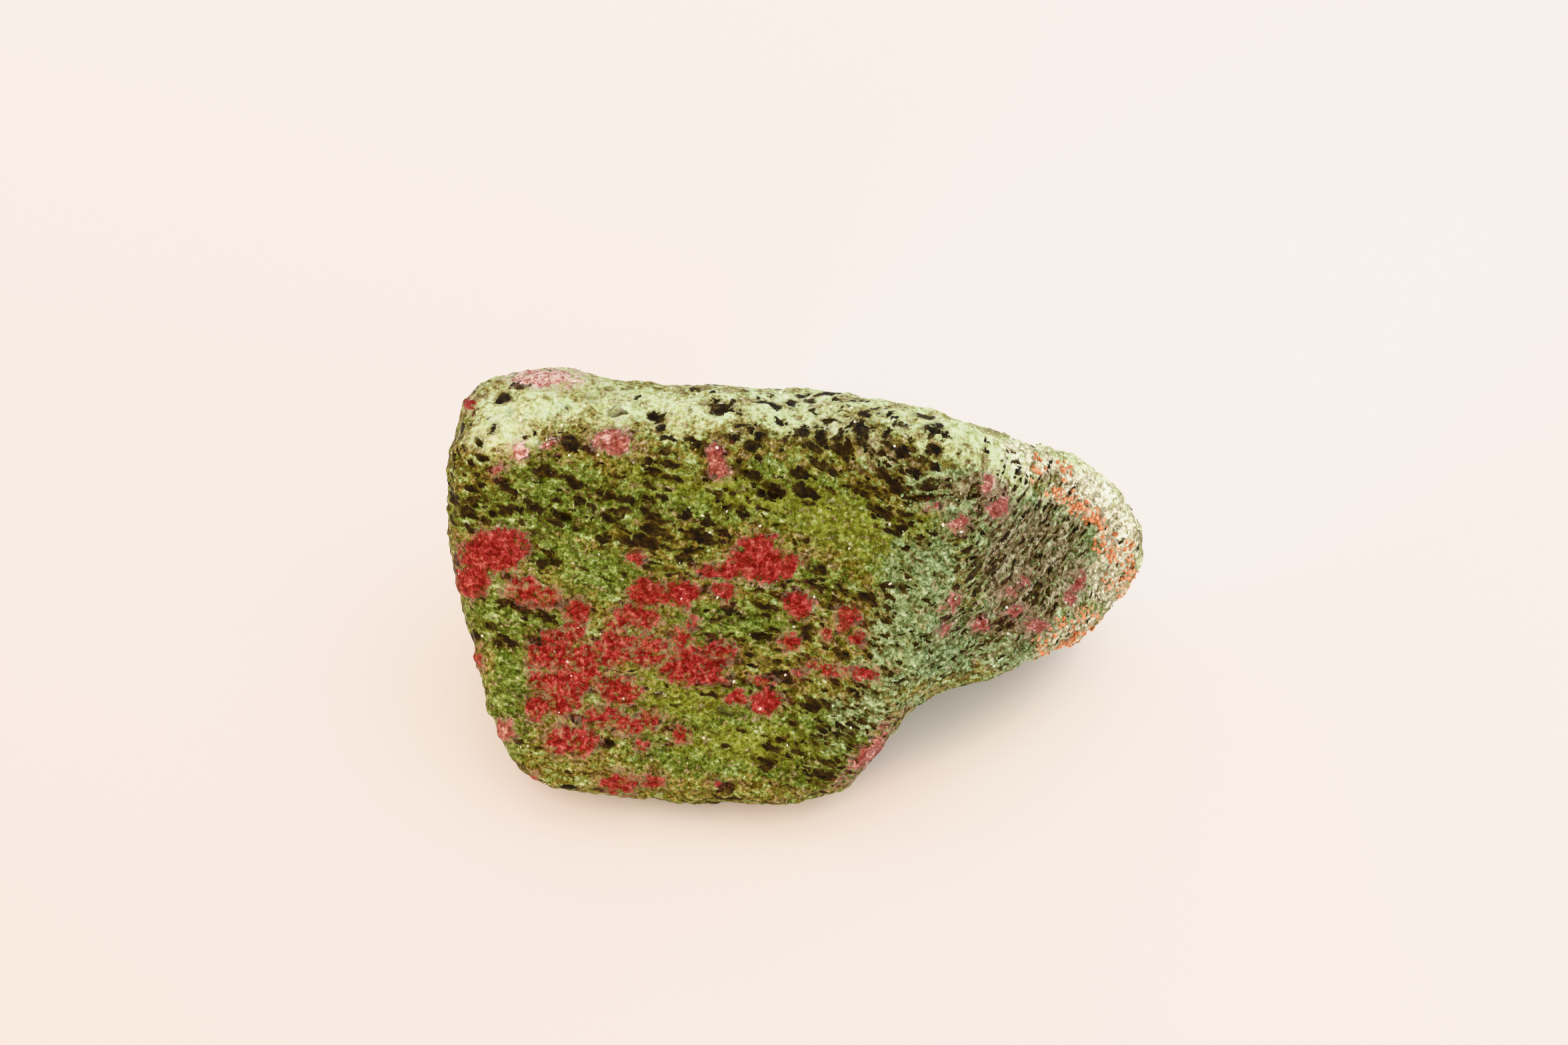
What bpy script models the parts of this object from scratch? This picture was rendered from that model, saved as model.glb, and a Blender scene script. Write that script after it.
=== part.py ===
"""A rough, worn stone of ruby in zoisite, modelled as one solid.

Units are metres, +Z is up, and the origin is under the middle of the stone, on the ground.
+X runs along the stone, from its square broken end to its nose, and -Y is its broad front face.

The stone is worked out in mm about its heart, in the frame of its girdle. The girdle is the
outline where the stone is widest. It lies in a plane through the heart that rises towards the
back, and the frame's Z axis is square to that plane. Only at the end is the stone stood up,
cut off flat at the ground and brought to its real size.
"""

import math

import bmesh
import bpy
from mathutils import Matrix, Vector, noise

MM = 0.001

# Driving dimensions, in mm, and the slopes of the girdle and of the rock's layers
LENGTH = 80.0
HEART_HEIGHT = 19.2
GIRDLE_RISE = math.radians(40.0)
LAYER_DIP = math.radians(9.0)       # the layers are nearly level and sink towards the nose

# The girdle's corners, in mm from the heart: along the stone, and up the girdle's plane.
GIRDLE = (
    (41.2, 5.4), (40.0, 1.0), (36.0, -4.2), (29.8, -7.4), (22.2, -10.4), (15.4, -12.2),
    (10.8, -14.8), (7.2, -20.2), (4.0, -24.2), (0.0, -26.0), (-12.0, -28.4), (-22.5, -28.6),
    (-31.0, -27.6), (-35.2, -22.8), (-37.0, -15.4), (-38.4, -10.0), (-39.6, -4.6),
    (-41.0, 1.0), (-41.0, 9.0), (-40.2, 15.6), (-40.0, 21.2), (-35.0, 24.2), (-29.6, 25.0),
    (-24.4, 22.2), (-17.0, 21.4), (-4.8, 21.4), (7.8, 19.8), (16.8, 17.2), (25.2, 14.8),
    (30.6, 13.6), (34.6, 10.8), (38.4, 8.2),
)

# Broken faces: compass bearing from the front, going round by the right, then the rise of the
# outward normal above level, both in degrees, then the distance from the heart in mm.
FACES = {
    "front": (-3.0, 40.0, 10.6),
    "front_low": (-6.0, 22.0, 17.0),
    "top": (184.0, 84.0, 20.0),
    "top_right": (62.0, 66.0, 21.5),
    "nose_front": (38.0, 42.0, 18.6),
    "nose_end": (84.0, 12.0, 41.0),
    "nose_back": (140.0, 14.0, 33.0),
    "nose_chin": (50.0, -35.0, 27.0),
    "nose_under": (75.0, -66.0, 22.6),
    "nose_heel": (135.0, -30.0, 30.0),
    "front_foot": (0.0, -36.0, 30.5),
    "undercut": (-8.0, -60.0, 25.5),
    "end_low": (-84.0, -28.0, 39.5),
    "end_back": (-138.0, 5.0, 41.0),
    "back": (178.0, 12.0, 22.5),
    "back_low": (188.0, -38.0, 22.5),
}
FACE_SHARPNESS = 14.0   # how crisply faces meet: a higher power leaves a tighter worn edge

# The step: right of a ridge in the broad face, the stone drops back to its nose. The ridge is
# given from below up, by how far along and how far up the girdle's plane each of its points is,
# with the depth and the width of the step there, all in mm.
RIDGE = (
    (5.0, -28.0, 5.5, 9.0),
    (8.5, -13.0, 6.5, 10.0),
    (13.0, -1.0, 6.0, 11.0),
    (18.0, 8.0, 4.5, 13.0),
    (24.0, 17.0, 3.0, 14.0),
)

# Worn hollows (negative) and lumps (positive) of the upper side: two ends of each one's
# middle line in the girdle's plane, how far it reaches, and its height, all in mm.
UPPER_RELIEF = {
    "saddle": ((-3.0, 20.0), (6.0, 8.0), 5.0, -0.9),
    "crest_lump": ((9.0, 17.0), (18.0, 12.0), 5.0, 0.9),
    "face_swell": ((-26.0, 4.0), (-8.0, 0.0), 8.0, 0.7),
    "face_dip": ((-18.0, -14.0), (-4.0, -10.0), 6.0, -0.6),
    "ridge_brow": ((8.0, -18.0), (12.0, -2.0), 3.0, 0.7),
    "flank_pit": ((16.5, -4.0), (18.0, -1.0), 2.6, -1.0),
    "flank_knob": ((14.5, 2.0), (16.0, 3.5), 2.4, 0.8),
    "nose_dip": ((24.0, 4.0), (33.0, 1.0), 4.5, -1.1),
    "nose_brow": ((30.0, 11.0), (37.0, 6.0), 3.0, 0.6),
    "end_lump": ((-31.0, 22.0), (-28.0, 23.5), 4.0, 0.7),
}

# The relief of the whole surface: the size and the height of its swells and of its lumps, and
# the length, the thickness and the height of the ledges that the layers leave, all in mm.
SWELL_SIZE, SWELL_HEIGHT = 15.0, 1.0
LUMP_SIZE, LUMP_HEIGHT = 5.5, 0.4
LEDGE_LENGTH, LEDGE_THICKNESS, LEDGE_HEIGHT = 10.0, 2.8, 0.35
LUMP_SHIFT = Vector((38.5, 16.5, 5.5))  # keeps the lumps from repeating the swells' pattern
ROUGHNESS_FALL = 0.85                   # how fast the finer waves of a pattern die away
FINER_BY = 2.1                          # each wave of a pattern is this much finer than the last
FOOT_FADE = 4.0                         # the relief dies away over this height above the ground

# Mesh: the squares of the box that the stone is hewn from, along the stone, up the girdle's plane
# and through it, then the side of the even squares that its surface is made of, in mm.
BOX_SQUARES = (32, 20, 16)
BOX_SIZE = (80.0, 52.0, 40.0)
SQUARE = 1.55
SHORTEST_EDGE = 0.35
TINY = 0.0001         # lengths under this count as nothing
RELAX_ROUNDS = 4

ZOISITE_GREEN = (0.17, 0.22, 0.05, 1.0)
ZOISITE_ROUGHNESS = 0.6
SHARP_EDGE = math.radians(50.0)


def smooth_step(share):
    """A smooth rise from 0 to 1 as a share goes from 0 to 1."""
    share = min(1.0, max(0.0, share))
    return share * share * (3 - 2 * share)


def face_normal(bearing, rise):
    """The outward normal, in the girdle's frame, of a face that looks along a bearing and a rise."""
    turn, lift = math.radians(bearing), math.radians(rise)
    level = math.cos(lift)
    upright = Vector((math.sin(turn) * level, -math.cos(turn) * level, math.sin(lift)))
    return Matrix.Rotation(-GIRDLE_RISE, 3, "X") @ upright


def prepared_faces():
    """The broken faces as pairs of outward normal and distance."""
    return [(face_normal(bearing, rise), distance) for bearing, rise, distance in FACES.values()]


def girdle_polar():
    """The girdle's corners as (angle, radius), in order of their angle."""
    return sorted((math.atan2(up, along), math.hypot(along, up)) for along, up in GIRDLE)


def girdle_radius(angle, corners):
    """The girdle's radius at an angle, on a smooth closed curve through its corners."""
    count = len(corners)
    after = next((i for i, corner in enumerate(corners) if corner[0] > angle), 0)
    before = (after - 1) % count
    span = (corners[after][0] - corners[before][0]) % math.tau
    share = ((angle - corners[before][0]) % math.tau) / span
    r0, r1, r2, r3 = (corners[(before + step) % count][1] for step in (-1, 0, 1, 2))
    rise_in, rise_out = (r2 - r0) / 2, (r3 - r1) / 2
    return (
        r1
        + rise_in * share
        + (3 * (r2 - r1) - 2 * rise_in - rise_out) * share ** 2
        + (rise_in + rise_out - 2 * (r2 - r1)) * share ** 3
    )


def on_surface(point, corners, faces):
    """The point of the hewn stone's surface in the direction of a point, as seen from the heart."""
    rim = math.hypot(point.x, point.y) / girdle_radius(math.atan2(point.y, point.x), corners)
    total = rim ** FACE_SHARPNESS
    for normal, distance in faces:
        total += max(0.0, normal.dot(point) / distance) ** FACE_SHARPNESS
    return point / total ** (1 / FACE_SHARPNESS)


def step_down(point):
    """How far the stone drops back from its broad face at a point, in mm."""
    heights = [corner[1] for corner in RIDGE]
    upper = next((i for i, height in enumerate(heights) if height > point.y), len(RIDGE) - 1)
    lower = max(upper - 1, 0)
    span = max(heights[upper] - heights[lower], 1.0)
    share = smooth_step((point.y - heights[lower]) / span)
    along, depth, width = (
        RIDGE[lower][i] + (RIDGE[upper][i] - RIDGE[lower][i]) * share for i in (0, 2, 3)
    )
    return depth * smooth_step((point.x - along) / width)


def to_segment(point, start, end):
    """The distance in the girdle's plane from a point to the line between two others."""
    start, end = Vector(start), Vector(end)
    along = end - start
    share = (point.xy - start).dot(along) / along.length_squared
    return (point.xy - start - along * min(1.0, max(0.0, share))).length


def waves(point, size, octaves):
    """A rough pattern between about -1 and 1, of a size in mm and finer waves on it."""
    return noise.fractal(
        point / size, ROUGHNESS_FALL, FINER_BY, octaves, noise_basis="PERLIN_NEW"
    )


def relief(point, normal):
    """How far the worn relief lifts the surface, in mm, at a point in the girdle's frame."""
    lift = 0.0
    for start, end, spread, height in UPPER_RELIEF.values():
        away = to_segment(point, start, end) / spread
        lift += height * math.exp(-away * away) * max(0.0, normal.z)
    upright = Matrix.Rotation(GIRDLE_RISE, 3, "X") @ point
    layered = Matrix.Rotation(LAYER_DIP, 3, "Y") @ upright
    squeezed = Vector((
        layered.x / LEDGE_LENGTH, layered.y / LEDGE_LENGTH, layered.z / LEDGE_THICKNESS
    ))
    worn = (
        SWELL_HEIGHT * waves(layered, SWELL_SIZE, 3)
        + LUMP_HEIGHT * waves(layered + LUMP_SHIFT, LUMP_SIZE, 2)
        + LEDGE_HEIGHT * noise.noise(squeezed)
    )
    return lift + worn * smooth_step((upright.z + HEART_HEIGHT) / FOOT_FADE)


def squared_box():
    """A closed box of squares, in mm, about as large as the stone."""
    form = bmesh.new()
    bmesh.ops.create_cube(form, size=1.0)
    for axis, squares in enumerate(BOX_SQUARES):
        edges = [
            edge for edge in form.edges
            if abs(edge.verts[0].co[axis] - edge.verts[1].co[axis]) > TINY
        ]
        bmesh.ops.subdivide_edges(form, edges=edges, cuts=squares - 1, use_grid_fill=True)
    bmesh.ops.scale(form, verts=form.verts, vec=BOX_SIZE)
    return form


def evened(form):
    """The same form with its surface made again of even squares."""
    mesh = bpy.data.meshes.new("hewn_form")
    form.to_mesh(mesh)
    form.free()
    hewn = bpy.data.objects.new("hewn_form", mesh)
    bpy.context.scene.collection.objects.link(hewn)
    remesh = hewn.modifiers.new("even_squares", "REMESH")
    remesh.mode = "VOXEL"
    remesh.voxel_size = SQUARE
    evaluated = hewn.evaluated_get(bpy.context.evaluated_depsgraph_get())
    even = bmesh.new()
    even.from_mesh(evaluated.to_mesh())
    evaluated.to_mesh_clear()
    bpy.data.objects.remove(hewn)
    return even


def shaped_stone():
    """The stone in its girdle's frame: hewn to its faces, evened, stepped and given its relief."""
    corners, faces = girdle_polar(), prepared_faces()
    form = squared_box()
    for vert in form.verts:
        vert.co = on_surface(vert.co, corners, faces)
    form = evened(form)
    for _ in range(RELAX_ROUNDS):
        bmesh.ops.smooth_vert(
            form, verts=form.verts, factor=0.5, use_axis_x=True, use_axis_y=True, use_axis_z=True
        )
        for vert in form.verts:
            vert.co = on_surface(vert.co, corners, faces)
    for vert in form.verts:
        vert.co.z -= step_down(vert.co)
    form.normal_update()
    moves = [vert.normal * relief(vert.co, vert.normal) for vert in form.verts]
    for vert, move in zip(form.verts, moves):
        vert.co += move
    return form


def cut_foot(form):
    """Cuts the stone off flat at the ground and closes the cut with its foot."""
    everything = form.verts[:] + form.edges[:] + form.faces[:]
    cut = bmesh.ops.bisect_plane(
        form, geom=everything, dist=TINY, plane_co=(0, 0, 0), plane_no=(0, 0, -1), clear_outer=True
    )
    rim = [piece for piece in cut["geom_cut"] if isinstance(piece, bmesh.types.BMVert)]
    bmesh.ops.remove_doubles(form, verts=rim, dist=SHORTEST_EDGE)
    rim = [vert for vert in form.verts if vert.is_boundary]
    near = bmesh.ops.find_doubles(form, verts=form.verts, keep_verts=rim, dist=SHORTEST_EDGE)
    bmesh.ops.weld_verts(form, targetmap=near["targetmap"])
    bmesh.ops.edgeloop_fill(form, edges=[edge for edge in form.edges if edge.is_boundary])


def stand_up(form):
    """Turns the stone from its girdle's frame to the world's, and gives it its foot and size."""
    form.transform(Matrix.Rotation(GIRDLE_RISE, 4, "X"))
    bmesh.ops.translate(form, verts=form.verts, vec=(0, 0, HEART_HEIGHT))
    cut_foot(form)
    low = Vector(min(vert.co[axis] for vert in form.verts) for axis in range(3))
    high = Vector(max(vert.co[axis] for vert in form.verts) for axis in range(3))
    middle = (low + high) / 2
    bmesh.ops.translate(form, verts=form.verts, vec=(-middle.x, -middle.y, 0))
    bmesh.ops.scale(form, verts=form.verts, vec=[LENGTH / (high.x - low.x) * MM] * 3)
    bmesh.ops.recalc_face_normals(form, faces=form.faces)


def zoisite():
    """Green zoisite, as the stone's overall colour."""
    material = bpy.data.materials.new("zoisite_green")
    material.use_nodes = True
    shader = material.node_tree.nodes["Principled BSDF"]
    shader.inputs["Base Color"].default_value = ZOISITE_GREEN
    shader.inputs["Roughness"].default_value = ZOISITE_ROUGHNESS
    shader.inputs["Metallic"].default_value = 0.0
    return material


def main():
    """Clears the scene and makes the stone."""
    for obj in list(bpy.data.objects):
        bpy.data.objects.remove(obj)
    form = shaped_stone()
    stand_up(form)
    mesh = bpy.data.meshes.new("stone")
    form.to_mesh(mesh)
    form.free()
    mesh.shade_smooth()
    mesh.set_sharp_from_angle(angle=SHARP_EDGE)
    mesh.materials.append(zoisite())
    stone = bpy.data.objects.new("stone", mesh)
    bpy.context.scene.collection.objects.link(stone)


main()
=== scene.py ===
"""The looks of a rough stone of ruby in zoisite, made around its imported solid.

The stone is one natural piece, so one fine skin stands for it. The skin has the lumps, grains and
pits of a worn break, and a finish of green zoisite with dark hornblende, rubies and a thin orange
crust. Loose granules of the crust, of its chalky rim and of the crumbly zoisite are small meshes
bedded in the skin.

Sizes are in mm unless a name or a docstring says metres. +X runs along the stone to its nose, -Y
is its broad front face and +Z is up. Places on the front are given in the front plan: mm across
and mm up from the middle, as the stone is seen from above its front.
"""

import logging
import math
from dataclasses import dataclass, field
from enum import Enum
from typing import Any

import bmesh
import bpy
import numpy as np
from mathutils import Euler, Matrix, Vector, noise

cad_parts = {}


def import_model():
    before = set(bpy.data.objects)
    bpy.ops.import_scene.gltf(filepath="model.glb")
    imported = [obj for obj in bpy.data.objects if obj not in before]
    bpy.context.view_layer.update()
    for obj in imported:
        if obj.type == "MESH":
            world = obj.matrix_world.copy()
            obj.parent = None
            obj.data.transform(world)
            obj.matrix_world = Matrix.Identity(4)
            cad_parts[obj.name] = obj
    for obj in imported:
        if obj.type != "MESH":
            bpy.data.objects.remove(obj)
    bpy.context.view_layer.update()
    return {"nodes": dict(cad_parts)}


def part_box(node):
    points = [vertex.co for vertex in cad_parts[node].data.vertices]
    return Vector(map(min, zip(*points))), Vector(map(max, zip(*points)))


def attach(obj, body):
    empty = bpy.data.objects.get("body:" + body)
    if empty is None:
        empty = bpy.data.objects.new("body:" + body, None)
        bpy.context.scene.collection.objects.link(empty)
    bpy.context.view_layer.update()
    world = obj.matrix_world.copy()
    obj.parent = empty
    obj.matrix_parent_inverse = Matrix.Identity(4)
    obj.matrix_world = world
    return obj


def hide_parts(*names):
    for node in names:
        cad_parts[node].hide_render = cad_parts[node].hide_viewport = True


log = logging.getLogger("stone")

MM = 0.001
MIDDLE = 0.5  # of every noise and random colour, which run from 0 to 1
MIRRORING = 0.3  # how strongly the stone's minerals mirror the light

Colour = tuple[float, float, float]
Size = float | tuple[float, float, float]
Span = tuple[float, float]


def smooth_step(values: np.ndarray, low: float, high: float) -> np.ndarray:
    """A smooth rise from 0 at low to 1 at high.

    Args:
        values: the numbers to map.
        low: where the rise starts.
        high: where it ends.

    Returns:
        An array of numbers from 0 to 1.
    """
    share = np.clip((values - low) / (high - low), 0.0, 1.0)
    return share * share * (3.0 - 2.0 * share)


@dataclass(frozen=True)
class Waves:
    """A rough natural pattern that swings to both sides of 0.

    Attributes:
        size: the size of the largest waves in mm, or one size for each axis.
        octaves: how many ever finer waves are laid on each other.
        shift: moves the pattern, so that no two patterns are alike.
        height: how far it swings.
        falling: how fast the finer waves get lower.
        finer: how much finer each layer of waves is than the one before.
    """

    size: Size
    octaves: int
    shift: float
    height: float = 1.0
    falling: float = 1.0
    finer: float = 2.1

    def at(self, points: np.ndarray) -> np.ndarray:
        """The pattern's value at places in mm, one in each row."""
        places = (points / np.asarray(self.size) + self.shift).tolist()
        values = [noise.fractal(place, self.falling, self.finer, self.octaves) for place in places]
        return self.height * np.array(values)


@dataclass(frozen=True)
class Grains:
    """Rounded grains packed side by side: full height on top of each and about 0 between them.

    Attributes:
        size: the grains' size in mm.
        shift: moves the pattern.
        height: how high they stand, in mm.
        crowding: how soon the fall from a grain's top reaches the floor between them.
    """

    size: float
    shift: float
    height: float
    crowding: float = 1.4

    def at(self, points: np.ndarray) -> np.ndarray:
        """The grains' height at places in mm, one in each row."""
        places = (points / self.size + self.shift).tolist()
        nearest = np.array([noise.voronoi(place)[0][0] for place in places])
        return self.height * (1.0 - np.clip(nearest * self.crowding, 0.0, 1.0) ** 2)


class Zone(Enum):
    """A mineral, or a tint of the zoisite; the pale tint also carries painted sheen. The value names the
    skin's attribute for it.
    """

    RUBY = "ruby"
    ROSY = "rosy"
    DUSTY = "dusty"
    HORNBLENDE = "hornblende"
    SPOTTED = "spotted"
    CRUST = "crust"
    VEIN = "vein"
    LIME = "lime"
    GREEN = "green"
    # pale zoisite and painted sheen: lighter where the top band and the nose rim face the light
    PALE = "pale"
    COOL = "cool"
    BROWN = "brown"
    CHALK = "chalk"


@dataclass(frozen=True)
class FrontView:
    """Where the stone's front is seen from, which also sets the front plan.

    Attributes:
        aim: the point looked at, in mm.
        distance: how far off the eye is, in mm.
        rise: how far above level the eye is, in radians.
        lens: the camera's lens, in mm.
        sensor: the width of the camera's sensor, in mm.
        nearest: how close a thing may come and still be seen, in metres.
    """

    aim: Vector = field(default_factory=lambda: Vector((-1.95, 3.86, 23.24)))
    distance: float = 350.0
    rise: float = math.radians(50.0)
    lens: float = 70.62
    sensor: float = 36.0
    nearest: float = 0.01

    @property
    def back(self) -> Vector:
        """The direction from the stone to the eye."""
        return Vector((0.0, -math.cos(self.rise), math.sin(self.rise)))

    @property
    def up(self) -> Vector:
        """The direction that is up in the view."""
        return Vector((0.0, math.sin(self.rise), math.cos(self.rise)))

    @property
    def eye(self) -> Vector:
        """The eye's place, in mm."""
        return self.aim + self.back * self.distance

    def plan(self, points: np.ndarray) -> np.ndarray:
        """Where points show in the front plan.

        Args:
            points: places in mm, one in each row.

        Returns:
            Their places across and up, in mm, in two columns.
        """
        away = points - np.array(self.eye)
        depth = -away @ np.array(self.back)
        scale = self.distance / depth
        return np.column_stack((away[:, 0] * scale, (away @ np.array(self.up)) * scale))

    def facing(self, points: np.ndarray, normals: np.ndarray) -> np.ndarray:
        """How squarely each point faces the eye, from -1 to 1."""
        sight = np.array(self.eye) - points
        sight /= np.linalg.norm(sight, axis=1)[:, None]
        return np.einsum("ij,ij->i", sight, normals)

    def make_camera(self) -> None:
        """Puts the scene's camera at the eye."""
        camera = bpy.data.cameras.new("camera")
        camera.lens = self.lens
        camera.sensor_width = self.sensor
        camera.clip_start = self.nearest
        holder = bpy.data.objects.new("camera", camera)
        bpy.context.scene.collection.objects.link(holder)
        holder.location = self.eye * MM
        holder.rotation_euler = (-self.back).to_track_quat("-Z", "Y").to_euler()
        bpy.context.scene.camera = holder


@dataclass(frozen=True)
class Patch:
    """An oval patch in the front plan.

    Attributes:
        across: how far right of the plan's middle its own middle is, in mm.
        up: how far above it, in mm.
        half_length: half its length, in mm.
        half_width: half its width, in mm.
        turn: how far it is turned anticlockwise, in degrees.
    """

    across: float
    up: float
    half_length: float
    half_width: float
    turn: float = 0.0

    def depth(self, plan: np.ndarray) -> np.ndarray:
        """How deep inside the patch each place of the plan is, in mm: negative outside it."""
        turn = math.radians(self.turn)
        x, y = (plan - (self.across, self.up)).T
        along = x * math.cos(turn) + y * math.sin(turn)
        beside = y * math.cos(turn) - x * math.sin(turn)
        reach = np.hypot(along / self.half_length, beside / self.half_width)
        return (1.0 - reach) * min(self.half_length, self.half_width)


def patches(*rows: tuple[float, ...]) -> tuple[Patch, ...]:
    """Patches from rows of their fields, in the order in which Patch gives them."""
    return tuple(Patch(*row) for row in rows)


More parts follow.
